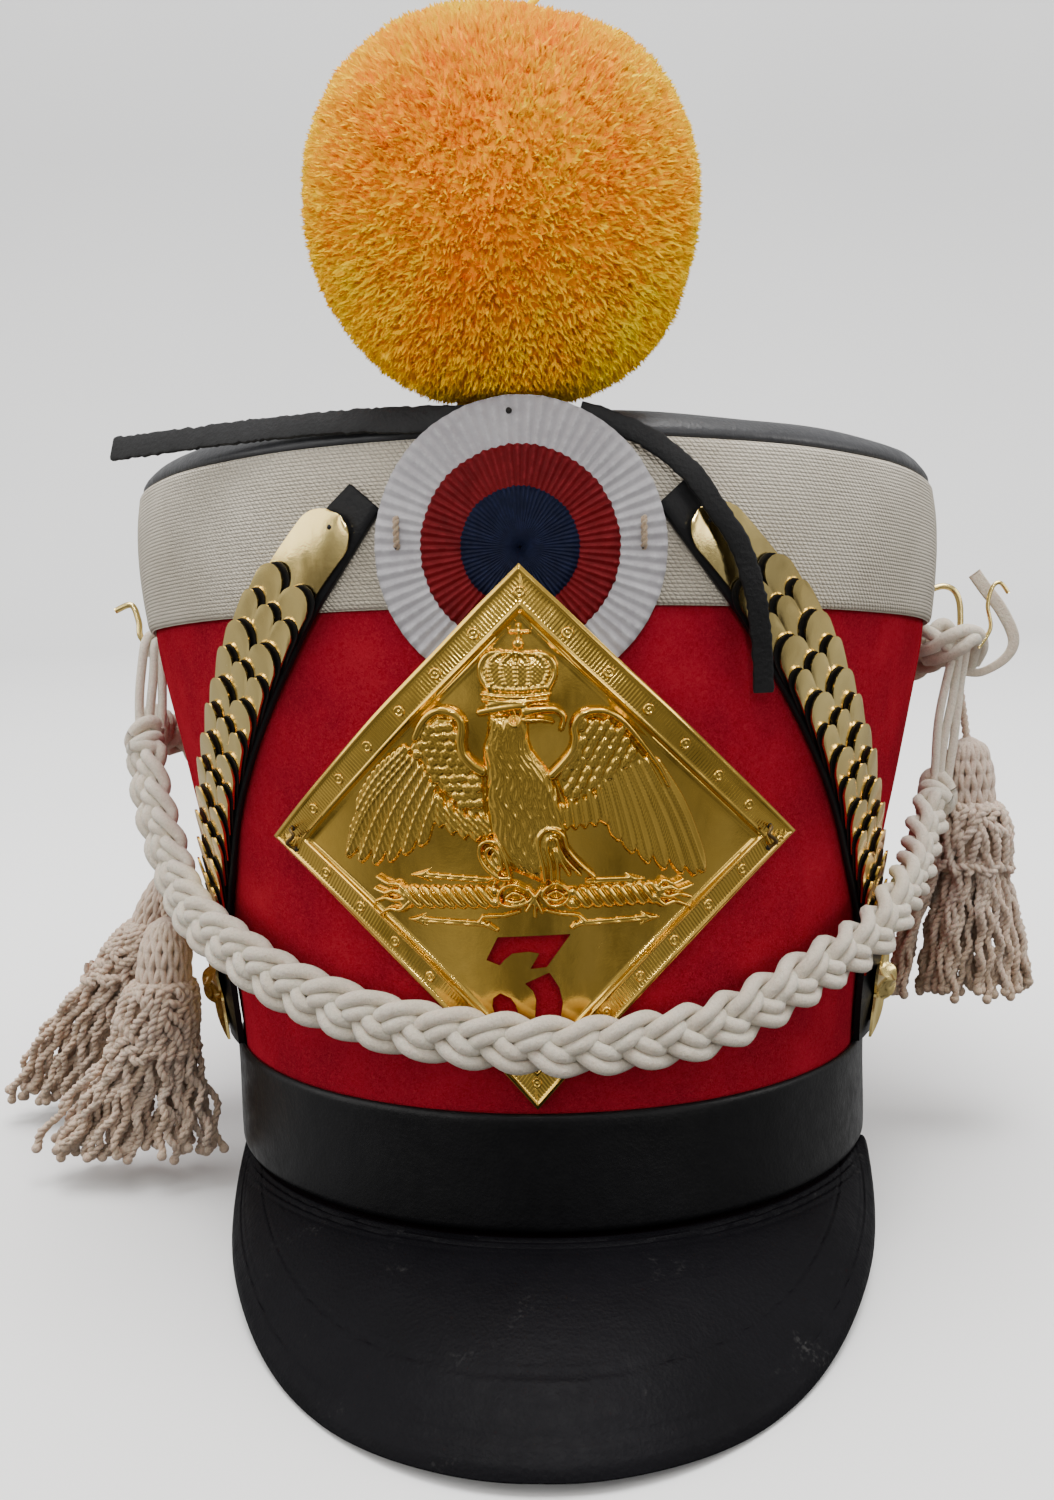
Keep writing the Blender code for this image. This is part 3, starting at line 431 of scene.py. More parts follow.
def hoop(name, section, look, slot, node, around, ripple):
    """A ring round the hat from a closed section of (height, off) rows, a little uneven."""
    section = np.array(section, float)
    h, t = spread(section[:, 0], np.linspace(0, 360, around, endpoint=False))
    points = hat(t, h, section[:, 1:2] + ripple(h, t))
    uv = np.stack([np.radians(t) * MEAN_RADIUS, h], -1)
    faces = grid_faces(len(section), around, True, True)
    Pile().add(points, faces, uv=uv).piece(name, look, slot, (node,), sharp=50)


# ---- materials ---------------------------------------------------------------------------------


class Nodes:
    """A tree of shader nodes, with a short call for each kind that is used here."""

    def __init__(self, tree):
        self.tree = tree

    def put(self, socket, value):
        if isinstance(value, bpy.types.NodeSocket):
            self.tree.links.new(value, socket)
        elif value is not None:
            socket.default_value = value

    def node(self, kind, *inputs, **settings):
        made = self.tree.nodes.new("ShaderNode" + kind)
        for key, value in settings.items():
            setattr(made, key, value)
        for socket, value in zip(made.inputs, inputs):
            self.put(socket, value)
        return made

    def where(self, source="Object", scale=None):
        place = self.node("TexCoord").outputs[source]
        if scale is None:
            return place
        made = self.node("Mapping", place)
        made.inputs["Scale"].default_value = scale
        return made.outputs[0]

    def noise(self, scale, detail, rough=0.5, where=None, bend=0.0):
        made = self.node("TexNoise")
        self.put(made.inputs["Vector"], self.where() if where is None else where)
        settings = {"Scale": scale, "Detail": detail, "Roughness": rough, "Distortion": bend}
        for socket, value in settings.items():
            made.inputs[socket].default_value = value
        return made.outputs[0]

    def cells(self, scale):
        made = self.node("TexVoronoi")
        self.put(made.inputs["Vector"], self.where())
        made.inputs["Scale"].default_value = scale
        return made.outputs["Distance"]

    def sum(self, operation, *values):
        return self.node("Math", *values, operation=operation).outputs[0]

    def times(self, first, second):
        return self.sum("MULTIPLY", first, second)

    def plus(self, first, second):
        return self.sum("ADD", first, second)

    def parts(self, vector):
        return self.node("SeparateXYZ", vector).outputs

    def tone(self):
        return self.node("Attribute", attribute_name="tone").outputs["Fac"]

    def ramp(self, amount, *stops):
        made = self.node("ValToRGB", amount)
        elements = made.color_ramp.elements
        elements[0].position, elements[-1].position = stops[0][0], stops[-1][0]
        for position, _ in stops[1:-1]:
            elements.new(position)
        for element, (_, colour) in zip(elements, stops):
            element.color = (*(colour if isinstance(colour, tuple) else (colour,) * 3), 1)
        return made.outputs[0]

    def blend(self, amount, first, second):
        made = self.node("Mix", data_type="RGBA")
        self.put(made.inputs["Factor"], amount)
        for socket, value in ((made.inputs[6], first), (made.inputs[7], second)):
            self.put(socket, (*value, 1) if isinstance(value, tuple) else value)
        return made.outputs[2]


class Look(Nodes):
    """A material made of nodes. Its other settings are named with underscores for spaces."""

    def __init__(self, name, colour, roughness, metallic=0.0, **sockets):
        self.material = bpy.data.materials.new(name)
        self.material.use_nodes = True
        super().__init__(self.material.node_tree)
        self.shader = self.tree.nodes["Principled BSDF"]
        sockets.update(Base_Color=(*colour, 1), Roughness=roughness, Metallic=metallic)
        for socket, value in sockets.items():
            self.shader.inputs[socket.replace("_", " ")].default_value = value
        self.normal = None

    def colour(self, value):
        self.put(self.shader.inputs["Base Color"], value)

    def rough(self, value):
        self.put(self.shader.inputs["Roughness"], value)

    def bump(self, height, distance, strength):
        """Raises the surface by a height from 0 to 1, times a distance, over the bumps so far."""
        made = self.node("Bump")
        for socket, value in (("Strength", strength), ("Distance", distance)):
            made.inputs[socket].default_value = value
        self.put(made.inputs["Height"], height)
        self.put(made.inputs["Normal"], self.normal)
        self.normal = made.outputs[0]
        self.put(self.shader.inputs["Normal"], self.normal)


def felt_look():
    sheen = {"Sheen_Weight": 0.03, "Sheen_Roughness": 0.4, "Sheen_Tint": (1.0, 0.15, 0.1, 1)}
    look = Look("red felt", (0.5, 0.01, 0.01), 0.95, **sheen, Specular_IOR_Level=0.0)
    cloud = look.noise(55, 4)
    fibre = look.noise(1400, 3, 0.7, bend=1.5)
    dark, middle, light = (0.19, 0.0040, 0.0120), (0.26, 0.0055, 0.0145), (0.34, 0.0095, 0.0210)
    base = look.ramp(cloud, (0.32, dark), (0.55, middle), (0.75, light))
    look.colour(look.blend(look.ramp(fibre, (0.35, 0.0), (0.7, 0.5)), base, (0.48, 0.030, 0.045)))
    look.bump(look.noise(420, 3, 0.6), 0.0006, 0.6)
    look.bump(fibre, 0.0004, 0.8)
    return look


def knit_look():
    """Small domed stitches in rows that step half a stitch each, a little uneven."""
    look = Look("knitted cotton", (0.6, 0.56, 0.48), 0.9, Sheen_Weight=0.2, Specular_IOR_Level=0.2)
    place = look.parts(look.where("UV"))
    stitch_width, row_height = 1.25 * MM, 0.86 * MM
    wander = look.times(look.noise(900, 2), 0.5)
    up = look.plus(look.sum("DIVIDE", place[1], row_height), wander)
    row, rise = look.sum("FLOOR", up), look.sum("FRACT", up)
    odd = look.times(look.sum("MODULO", row, 2.0), 0.5)
    lean = look.times(rise, 0.5)
    across = look.plus(look.sum("DIVIDE", place[0], stitch_width), look.plus(odd, lean))
    across = look.sum("FRACT", look.plus(across, look.times(look.noise(700, 2), 0.4)))
    dome = [look.sum("SINE", look.times(share, math.pi)) for share in (across, rise)]
    dome = look.sum("POWER", look.sum("MAXIMUM", look.times(*dome), 0.0), 0.6)
    cloud = look.ramp(look.noise(40, 4), (0.3, (0.52, 0.46, 0.36)), (0.7, (0.64, 0.58, 0.475)))
    # Painted shade: the hollows between the domed stitches are darkened towards a brown grey.
    look.colour(look.blend(look.ramp(dome, (0.0, 0.65), (0.6, 0.0)), cloud, (0.26, 0.22, 0.16)))
    look.bump(dome, 0.0007, 0.85)
    look.bump(look.noise(2600, 2), 0.0002, 0.5)
    return look


def leather_look(name, tint, rough, grain, scuffs=0.0, shine=0.22):
    look = Look(name, tint, rough, Specular_IOR_Level=shine)
    cloud = look.noise(28, 4)
    worn = look.noise(260, 5, 0.7)
    lighter = tuple(2.2 * c for c in tint)
    base = look.blend(look.ramp(cloud, (0.35, 0.0), (0.8, 0.5)), tint, lighter)
    if scuffs:
        places = look.ramp(look.noise(60, 5, 0.7), (0.60, 0.0), (0.74, 1.0))
        marks = look.ramp(look.noise(900, 3), (0.5, 0.0), (0.62, scuffs))
        base = look.blend(look.times(places, marks), base, (0.16, 0.155, 0.15))
    look.colour(base)
    look.rough(look.ramp(worn, (0.25, rough - 0.08), (0.75, rough + 0.14)))
    look.bump(look.cells(950), 0.0003, 0.35 * grain)
    look.bump(look.noise(2100, 3, 0.6), 0.0002, 0.6 * grain)
    look.bump(look.noise(70, 3), 0.0012, 0.35)
    return look


def brass_look(name, tint=(0.82, 0.53, 0.105), rough=0.13):
    look = Look(name, tint, rough, 1.0)
    cloud = look.noise(45, 4, 0.6)
    tarnished = tuple(c * k for c, k in zip(tint, (0.86, 0.80, 0.66)))
    look.colour(look.blend(look.ramp(cloud, (0.35, 0.0), (0.75, 0.8)), tint, tarnished))
    smear = look.noise(300, 4, 0.65, look.where("Object", (1, 1, 0.35)))
    look.rough(look.ramp(smear, (0.3, rough - 0.05), (0.75, rough + 0.16)))
    look.bump(look.noise(120, 2), 0.0004, 0.25)
    look.bump(look.noise(1500, 2, 0.6), 0.00006, 0.25)
    return look


def paint_look(name, dark, light, pale):
    """Matt paint over fine pleats, paler in patches along their ridges as painted highlight."""
    look = Look(name, light, 0.62, Specular_IOR_Level=0.15)
    cloud = look.noise(90, 5, 0.65)
    base = look.ramp(cloud, (0.3, dark), (0.7, light))
    # Painted highlight: the pale colour goes on in patches where the tone marks a pleat's raised ridge.
    ridge = look.times(look.tone(), look.ramp(look.noise(500, 4, 0.7), (0.42, 0.0), (0.72, 0.8)))
    look.colour(look.blend(ridge, base, pale))
    look.bump(look.noise(800, 4, 0.7), 0.00015, 0.5)
    return look


def cotton_look(name, white, beige, shadow):
    """Cotton cord or yarn, which goes from white to beige with its tone."""
    soft = {"Subsurface_Weight": 0.08, "Subsurface_Scale": 0.004}
    look = Look(name, white, 0.9, Sheen_Weight=0.25, Specular_IOR_Level=0.2, **soft)
    blend = look.plus(look.tone(), look.ramp(look.noise(120, 3), (0.35, 0.0), (0.7, 0.25)))
    base = look.blend(blend, white, beige)
    fibre = look.noise(1700, 3, 0.7, bend=1.0)
    look.colour(look.blend(look.ramp(fibre, (0.30, 0.55), (0.55, 0.0)), base, shadow))
    look.bump(look.noise(650, 4, 0.65), 0.0007, 0.55)
    look.bump(fibre, 0.00035, 0.7)
    return look


def wool_look():
    """Wool that goes from orange to yellow with its tone, which also carries painted light and shade."""
    sheen = {"Sheen_Weight": 0.05, "Sheen_Tint": (1.0, 0.6, 0.05, 1)}
    look = Look("yellow wool", (0.9, 0.5, 0.02), 0.85, **sheen, Specular_IOR_Level=0.04)
    stops = [(0.25 * k, (1.0, green, 0.0)) for k, green in enumerate((0.32, 0.43, 0.54, 0.65))]
    look.colour(look.ramp(look.tone(), *stops, (1.0, (1.0, 0.78, 0.002))))
    return look


# ---- camera, floor and lights ------------------------------------------------------------------


def camera():
    """The photograph's camera: its place and angles were fitted in the hat's own frame."""
    pitch, yaw, roll = -0.076, 0.044, -0.016
    right = np.array([math.cos(yaw), math.sin(yaw), 0.0])
    ahead = np.array([-math.sin(yaw) * math.cos(pitch), math.cos(yaw) * math.cos(pitch), math.sin(pitch)])
    up = np.array([math.sin(yaw) * math.sin(pitch), -math.cos(yaw) * math.sin(pitch), math.cos(pitch)])
    across = right * math.cos(roll) + up * math.sin(roll)
    above = up * math.cos(roll) - right * math.sin(roll)
    spot = world(np.array([0.0161, -0.4487, 0.1408]))
    turned = [world(v) - world(np.zeros(3)) for v in (across, above, -ahead)]
    data = bpy.data.cameras.new("camera")
    data.sensor_fit, data.sensor_height = "VERTICAL", 36.0
    focal_pixels, frame_pixels = 1536, 1500
    data.lens = data.sensor_height * focal_pixels / frame_pixels
    data.clip_start = 0.02
    made = bpy.data.objects.new("camera", data)
    matrix = Matrix([[*(v[i] for v in turned), spot[i]] for i in range(3)] + [[0, 0, 0, 1]])
    made.matrix_world = matrix
    bpy.context.scene.collection.objects.link(made)
    bpy.context.scene.camera = made


LIGHTS = (
    # name, place, aim, size, height, power, colour
    ("above", (0.1, 0.10, 1.2), (0, 0, 0.15), 0.9, None, 6.0, (1.0, 0.98, 0.94)),
    ("left", (-1.05, -0.25, 0.55), (0, 0, 0.12), 0.9, None, 5.5, (1.0, 0.98, 0.94)),
    ("right", (1.05, -0.10, 0.60), (0, 0, 0.12), 0.5, None, 3.4, (1.0, 0.98, 0.94)),
    ("front left", (-0.75, -0.95, 0.45), (0, 0, 0.12), 0.30, 0.6, 1.7, (1.0, 0.97, 0.92)),
    ("front right", (0.80, -0.95, 0.35), (0, 0, 0.12), 0.30, 0.6, 1.5, (1.0, 0.98, 0.95)),
    ("front top", (0.10, -0.80, 1.15), (0, 0, 0.12), 0.5, None, 2.8, (1.0, 0.97, 0.92)),
    ("backdrop", (0.0, 0.1, 2.0), (0, 1.5, 0.6), 1.6, None, 62, (1.0, 1.0, 1.0)),
)


def lamp(name, kind, place, aim, power, **settings):
    """A light that shines from a place towards an aim."""
    data = bpy.data.lights.new(name, kind)
    data.energy = power
    for key, value in settings.items():
        setattr(data, key, value)
    made = bpy.data.objects.new(name, data)
    made.location = place
    made.rotation_euler = (Vector(aim) - Vector(place)).to_track_quat("-Z", "Y").to_euler()
    bpy.context.scene.collection.objects.link(made)


def studio():
    """A round pale sweep all about the hat, which throws no light back on it, and soft lights."""
    mesh = bpy.data.meshes.new("floor")
    flat, bend, top, sides = 1.3, 0.6, 2.4, 96
    profile = [(0.001, 0.0), (0.4, 0.0), (0.9, 0.0), (flat, 0.0)]
    for a in np.linspace(0.1, math.pi / 2, 12):
        profile.append((flat + bend * math.sin(a), bend - bend * math.cos(a)))
    profile.append((flat + bend, top))
    points = [(r * math.cos(t), r * math.sin(t), z) for r, z in profile for t in circle(sides)]
    mesh.from_pydata(points, [], grid_faces(len(profile), sides, False, True).tolist())
    mesh.shade_smooth()
    floor = bpy.data.objects.new("floor", mesh)
    floor.visible_glossy = floor.visible_diffuse = False
    bpy.context.scene.collection.objects.link(floor)
    look = Look("pale floor", (0.88, 0.88, 0.88), 0.8, Specular_IOR_Level=0.1)
    look.colour(look.ramp(look.noise(3, 2), (0.3, 0.90), (0.7, 0.93)))
    mesh.materials.append(look.material)
    surroundings()
    for name, place, aim, size, height, power, colour in LIGHTS:
        shape = {"shape": "RECTANGLE", "size_y": height} if height else {}
        lamp(name, "AREA", place, aim, power, size=size, color=colour, **shape)
    beam = {"spot_size": math.radians(9.0), "spot_blend": 1.0, "shadow_soft_size": 0.10}
    lamp("pompom", "SPOT", (0.0, -1.15, 0.60), (-0.008, -0.096, 0.238), 62.0, **beam)


def surroundings():
    """A room that is bright overhead and to the left, dim in front, and uneven, for the brass to mirror."""
    sky = bpy.data.worlds.new("studio")
    sky.use_nodes = True
    nodes = Nodes(sky.node_tree)
    way = nodes.where("Generated")
    right, back, up = tuple(nodes.parts(way))
    patches = nodes.noise(2.2, 2.0, 0.5, way)
    amount = 0.04
    for source, weight in ((right, -0.08), (back, 0.14), (up, 0.35), (patches, 1.1)):
        amount = nodes.sum("MULTIPLY_ADD", source, weight, amount)
    shade = nodes.ramp(amount, (0.05, (0.030, 0.026, 0.022)), (0.95, 0.80))
    background = sky.node_tree.nodes["Background"].inputs
    nodes.put(background["Color"], shade)
    background["Strength"].default_value = 1.0
    bpy.context.scene.world = sky


# ---- the body ----------------------------------------------------------------------------------


def felt_and_bands(leather):
    low, high, inner = 0.0008, 0.1765, -0.0027
    felt = [(h, 0.0) for h in np.linspace(low, high, 44)]
    felt += [(0.177, -0.0004), (0.177, -0.0023)]
    felt += [(h, inner) for h in np.linspace(high, low, 16)]
    felt += [(0.0005, -0.0023), (0.0005, -0.0004)]
    lumps = ripples(0.00010, (1, 5, 60, 0), (1, 9, -95, 1), (1, 14, 130, 2), base=-0.0001)
    hoop("felt_body_soft", felt, felt_look(), "red_felt", "felt_body", 200, lumps)
    knit = [(0.1414, 0.0004), (0.1409, 0.0007), (0.1406, 0.0013), (0.1410, 0.0019), (0.1420, 0.0023)]
    outer = smooth(((0.1425, 0.0024), (0.151, 0.0031), (0.160, 0.0034), (0.169, 0.0030), (0.1765, 0.0019)))
    knit += [(h, float(outer(h))) for h in np.linspace(0.1428, 0.1762, 26)]
    knit += [(0.1771, 0.0014), (0.1774, 0.0008), (0.1772, 0.0004)]
    knit += [(h, 0.0004) for h in np.linspace(0.176, 0.1425, 6)]
    weave = ripples(0.00014, (1, 7, 50, 0), (1, 17, -120, 0))
    hoop("top_band_knit", knit, knit_look(), "white_knit", "top_band", 240, weave)
    band = [(0.0004, 0.0004), (0.0002, 0.0010), (0.0004, 0.0016), (0.0012, 0.0020)]
    band += [(h, 0.0020 + 0.0002 * math.sin(h * 110)) for h in np.linspace(0.002, 0.0272, 16)]
    band += [(0.0282, 0.0018), (0.0288, 0.0013), (0.0289, 0.0008), (0.0286, 0.0004)]
    band += [(h, 0.0004) for h in np.linspace(0.027, 0.002, 5)]
    dents = ripples(0.00012, (1, 4, 40, 1), (0.6, 11, 90, 0))
    hoop("lower_band_leather", band, leather, "black_leather", "lower_band", 200, dents)


CROWN_RIM = (
    (0.1774, 0.0002), (0.1776, 0.0007), (0.1781, 0.0010), (0.1790, 0.0009), (0.1800, 0.0003),
    (0.1812, -0.0008), (0.1824, -0.0022), (0.1834, -0.0042), (0.1839, -0.0062), (0.18405, -0.0085),
    (0.1841, -0.0120), (0.18405, -0.020), (0.1839, -0.040), (0.18375, -0.070), (0.1837, -0.100),
)
CROWN_UNDER = (
    (0.1812, -0.100), (0.1812, -0.060), (0.1811, -0.020), (0.1808, -0.010), (0.1799, -0.0068),
    (0.1788, -0.0045), (0.1778, -0.0030), (0.1774, -0.0020), (0.1773, -0.0008),
)


def crown_top(leather):
    """The leather top, whose rounded shoulder runs in to a closed middle above and below."""
    section, around = np.array(CROWN_RIM + CROWN_UNDER), 200
    h, t = spread(section[:, 0], np.linspace(0, 360, around, endpoint=False))
    off = np.broadcast_to(section[:, 1:2], h.shape)
    a = np.radians(t)
    swell = np.clip((off + 0.1) / 0.1, 0, 1) * (h > 0.1805)
    h = h + swell * 0.00018 * (np.sin(6 * a + 1) + np.sin(13 * a + 300 * off))
    points = hat(t, h, off)
    inner = len(CROWN_RIM) - 1
    faces = grid_faces(len(section), around, True, True)
    faces = faces[faces[:, 0] // around != inner]
    above = fan(inner * around, around, h.size, True)
    below = fan((inner + 1) * around, around, h.size + 1, False)
    middles = np.stack([points[inner].mean(0), points[inner + 1].mean(0)])
    points = np.vstack([points.reshape(-1, 3), middles])
    uv = np.vstack([np.stack([a * MEAN_RADIUS, h], -1).reshape(-1, 2), np.zeros((2, 2))])
    pile = Pile().add(points, faces, np.vstack([above, below]), uv=uv)
    pile.piece("crown_top_leather", leather, "black_leather", ("crown_top",), sharp=60)


PEAK_THICK, PEAK_MIDDLE = 0.0026, 0.0032
PEAK_LINES_INNER = (
    # place, width, height
    (1.9, 0.7, 0.30),
    (3.1, 0.5, -0.35),
    (4.4, 0.7, 0.30),
    (5.7, 0.5, -0.35),
    (7.1, 0.7, 0.22),
    (8.1, 0.5, -0.25),
)
PEAK_LINES_OUTER = (
    (18.8, 0.55, -0.40),
    (17.9, 0.5, 0.18),
    (19.8, 0.5, 0.15),
    (5.8, 0.5, -0.38),
    (5.0, 0.5, 0.15),
    (8.2, 0.4, -0.16),
)


def rest_height(y):
    rear = -hat(0, 0, 0.0019)[1]
    return -math.tan(TILT) * (rear - y)


def peak():
    """The peak's smooth top, with the lines pressed along its edges and small stamped marks."""
    share, s = spread(np.linspace(-1, 1, 171), np.linspace(0, 1, 67))
    root = hat(75 * share, 0.0, -0.0016)
    root[..., 2] = -0.0009 - PEAK_THICK
    angle = np.radians(88 * share)
    half_width, forward, start = 0.0873, 0.1330, 0.0220
    edge_x, edge_y = half_width * np.sin(angle) + PEAK_MIDDLE, -forward * np.cos(angle) - start
    edge = np.stack([edge_x, edge_y, 0 * angle], -1)
    edge[..., 2] = rest_height(edge[..., 1]) + smooth(PEAK_RISE)(np.abs(np.degrees(angle)))
    reach = np.linalg.norm(edge - root, axis=-1)
    low = root + (edge - root) * s[..., None]
    low[..., 2] += 4 * 0.09 * reach * s * (1 - s)
    inner, outer = (s * reach - 0.0020) / MM, (1 - s) * reach / MM
    rise = 0
    for distance, rows in ((inner, PEAK_LINES_INNER), (outer, PEAK_LINES_OUTER)):
        for at, width, depth in rows:
            rise = rise + depth * np.exp(-(((distance - at) / width) ** 2))
    rise *= np.clip(reach / 0.020, 0, 1)
    x = (low[..., 0] - PEAK_MIDDLE) / MM
    down = inner - 11.0
    for column in (-5.0, 0.0, 5.0):
        for row in range(9):
            near = np.maximum(np.abs(x - column - 2.0), np.abs(down - 3.7 * row))
            rise -= 0.16 * np.exp(-((near / 1.1) ** 4)) - 0.10 * np.exp(-((near / 0.5) ** 2))
    edge_drop = -0.0013 * np.clip(1 - outer / 1.3, 0, 1) ** 2
    high = low + np.stack([0 * s, 0 * s, PEAK_THICK + rise * MM + edge_drop], -1)
    low[..., 2] += 0.0010 * np.clip(1 - outer / 1.2, 0, 1) ** 2
    look = leather_look("peak leather", (0.0036, 0.0034, 0.0044), 0.46, 0.8, 0.2, 0.06)
    pile = Pile().sheet(low, high, np.stack([x * MM, s * reach], -1))
    pile.piece("peak_leather", look, "black_leather", ("peak",), sharp=50)


# ---- the cockade -------------------------------------------------------------------------------

COCKADE_CENTRE = np.array([0.0006, -0.1147, 0.1593])
COCKADE_BEND, COCKADE_LEAN = 0.170, 0.103
PLEATS = 72


def cockade_point(across, up, out):
    bend = COCKADE_BEND - np.sqrt(COCKADE_BEND**2 - across**2)
    return COCKADE_CENTRE + np.stack([across, -COCKADE_LEAN * up + bend - out, up], -1)


def cockade_ring(colour, outer, inner, uneven, look, lift=0.0):
    """One colour of the pleated cockade: its edge follows the pleats in small steps."""
    per_pleat, rings = 8, 9
    sides = PLEATS * per_pleat
    angle = circle(sides)
    fold = np.abs(((angle * PLEATS / (2 * np.pi)) % 1.0) * 2 - 1)
    steps = np.arange(0, sides + 1, per_pleat)
    wander = np.interp(np.arange(sides), steps, np.append(uneven, uneven[0]))
    jag = 0.00006 * wander if colour == "white" else 0.00028 * (fold - 0.5) + 0.00012 * wander
    rim = outer + jag
    radius = inner + (rim[None] - inner) * np.linspace(1, 0, rings)[:, None]
    depth = np.clip(radius / 0.0217, 0.15, 1.0) * (0.00062 * fold + 0.00014 * wander)
    up, across = radius * np.sin(angle), radius * np.cos(angle)
    front = cockade_point(across, up, 0.0009 + lift + depth)
    back = cockade_point(across[0], up[0], np.full(sides, 0.0001))
    # The tone is each pleat's fold; the paint uses it to lay painted highlight along the ridges.
    tones = np.concatenate([np.zeros(sides), np.tile(fold, rings)])
    faces = tube_faces(rings + 1, sides)
    pile = Pile().add(np.vstack([back, front.reshape(-1, 3)]), faces, tone=tones)
    pile.piece(f"cockade_{colour}_pleats", look, f"{colour}_paint", (f"cockade_{colour}",))


def cockade(thread):
    white = paint_look("white paint", (0.31, 0.295, 0.31), (0.40, 0.385, 0.40), (0.54, 0.53, 0.545))
    red = paint_look("red paint", (0.075, 0.0004, 0.002), (0.13, 0.001, 0.003), (0.22, 0.012, 0.018))
    blue = paint_look("blue paint", (0.0012, 0.0024, 0.012), (0.0022, 0.0045, 0.020), (0.010, 0.015, 0.050))
    uneven = RANDOM.uniform(-1, 1, PLEATS)
    cockade_ring("white", 0.0319, 0.0212, uneven, white)
    cockade_ring("red", 0.0217, 0.0124, uneven, red, 0.00014)
    cockade_ring("blue", 0.0129, 0.0002, uneven, blue, 0.00028)
    stitches, holes = Pile(), Pile()
    stitch = ((0.0031, 0.0008), (0.0026, 0.0021), (0.0, 0.0025), (-0.0026, 0.0021), (-0.0031, 0.0008))
    for x, z in ((-0.0268, 0.0036), (0.0268, 0.0028)):
        path = along([cockade_point(x, z + up, out) for up, out in stitch], 0.0006)
        stitches.twisted(path, 0.0008, 0.0028, tone=1.0)
        # Dark balls stand in for the holes the thread goes through, here and one more at the top: painted
        # shade.
        for up in (0.0031, -0.0031):
            holes.ball(cockade_point(x, z + up, 0.00135), 0.0006)
    holes.ball(cockade_point(-0.0018, 0.0286, 0.00135), 0.0007)
    stitches.piece("cockade_stitches", thread, "white_cord")
    holes.piece("cockade_holes", dark_look("dark holes"), "black_leather")


# ---- the plate ---------------------------------------------------------------------------------

CORNERS = {"top": (0.0, 149.3), "right": (69.0, 90.5), "foot": (0.0, 30.0), "left": (-69.0, 90.5)}
SIDES = (("top", "right", 3.1), ("right", "foot", 1.1), ("foot", "left", 1.5), ("left", "top", 2.7))
PLATE_THICK = 0.9
NUMBER = (
    (
        (-8.6, 69.5), (9.5, 70.1), (3.4, 62.7), (-0.8, 62.3), (1.6, 65.8), (-1.0, 66.2), (-5.1, 65.8),
        (-7.1, 64.4), (-8.4, 63.1), (-11.8, 64.3),
    ),
    (
        (4.0, 61.5), (6.4, 58.1), (7.3, 54.6), (6.6, 51.0), (3.2, 47.0), (-1.8, 45.8), (-1.8, 48.2),
        (0.0, 51.2), (0.4, 55.4), (-0.3, 57.3), (-2.3, 59.0),
    ),
    (
        (-8.7, 56.8), (-6.0, 55.7), (-4.8, 54.1), (-3.4, 49.2), (-3.4, 46.0), (-7.0, 47.4), (-10.0, 50.6),
        (-10.9, 53.7), (-10.6, 55.6),
    ),
)

# The eagle, in millimetres across the plate and up the hat
BODY_LEFT = (
    (-7.1, 118.2), (-7.9, 113.8), (-9.0, 110.9), (-8.7, 104.6), (-9.3, 100.8), (-8.8, 93.3), (-7.9, 90.8),
    (-6.4, 87.2), (-3.7, 84.4), (3.2, 81.6),
)
BODY_RIGHT = (
    (0.6, 118.2), (1.0, 115.3), (0.9, 112.9), (1.6, 110.8), (3.4, 108.2), (5.4, 105.5), (6.7, 102.3),
    (8.0, 97.4), (8.6, 93.1), (7.9, 87.1), (5.9, 82.7), (3.2, 81.6),
)
CROWN = (
    (-8.2, 121.2), (-8.2, 123.4), (-8.8, 125.9), (-8.8, 128.5), (-7.8, 130.5), (-5.8, 131.5), (-3.3, 131.5),
    (-0.9, 130.8), (1.5, 131.3), (4.0, 131.0), (6.4, 130.0), (7.2, 128.2), (7.0, 126.2), (6.0, 123.7),
    (5.2, 121.2),
)
CROWN_ARCHES = (
    ((-6.1, 124.4), (-6.5, 126.9), (-5.7, 129.4), (-3.9, 130.6), (-1.4, 130.8)),
    ((-3.6, 124.4), (-4.0, 126.9), (-3.4, 129.2), (-1.2, 130.8)),
    ((-1.2, 124.2), (-1.3, 126.8), (-1.1, 129.3), (-0.8, 130.8)),
    ((1.3, 124.2), (1.4, 126.8), (1.2, 129.0), (-0.4, 130.6)),
    ((4.2, 124.4), (5.0, 126.7), (4.3, 129.1), (2.4, 130.3), (-0.2, 130.6)),
)
COVERTS_LEFT = (
    (-14.6, 117.4), (-18.0, 117.8), (-21.3, 115.4), (-25.2, 111.0), (-22.6, 108.0), (-21.1, 105.2),
    (-19.4, 102.2), (-16.4, 99.4), (-13.0, 97.2), (-9.4, 96.4), (-9.2, 105.4), (-12.0, 108.0),
    (-13.4, 111.5),
)
COVERTS_RIGHT = (
    (11.4, 116.8), (14.8, 117.4), (18.6, 116.2), (22.3, 112.6), (26.0, 108.4), (21.5, 105.6), (16.2, 102.6),
    (9.0, 98.6), (7.4, 101.6), (6.4, 104.6), (8.8, 107.6), (11.0, 111.6),
)
LONG_LEFT = (
    # root_x, root_y, tip_x, tip_y
    (-26.2, 110.9, -40.0, 97.6),
    (-26.3, 109.6, -44.0, 90.0),
    (-25.4, 108.9, -45.4, 87.2),
    (-24.4, 108.1, -42.0, 86.2),
    (-23.2, 106.8, -38.2, 85.7),
    (-22.1, 105.2, -34.0, 86.5),
    (-21.2, 103.0, -29.8, 88.2),
    (-20.2, 100.6, -25.6, 90.2),
)
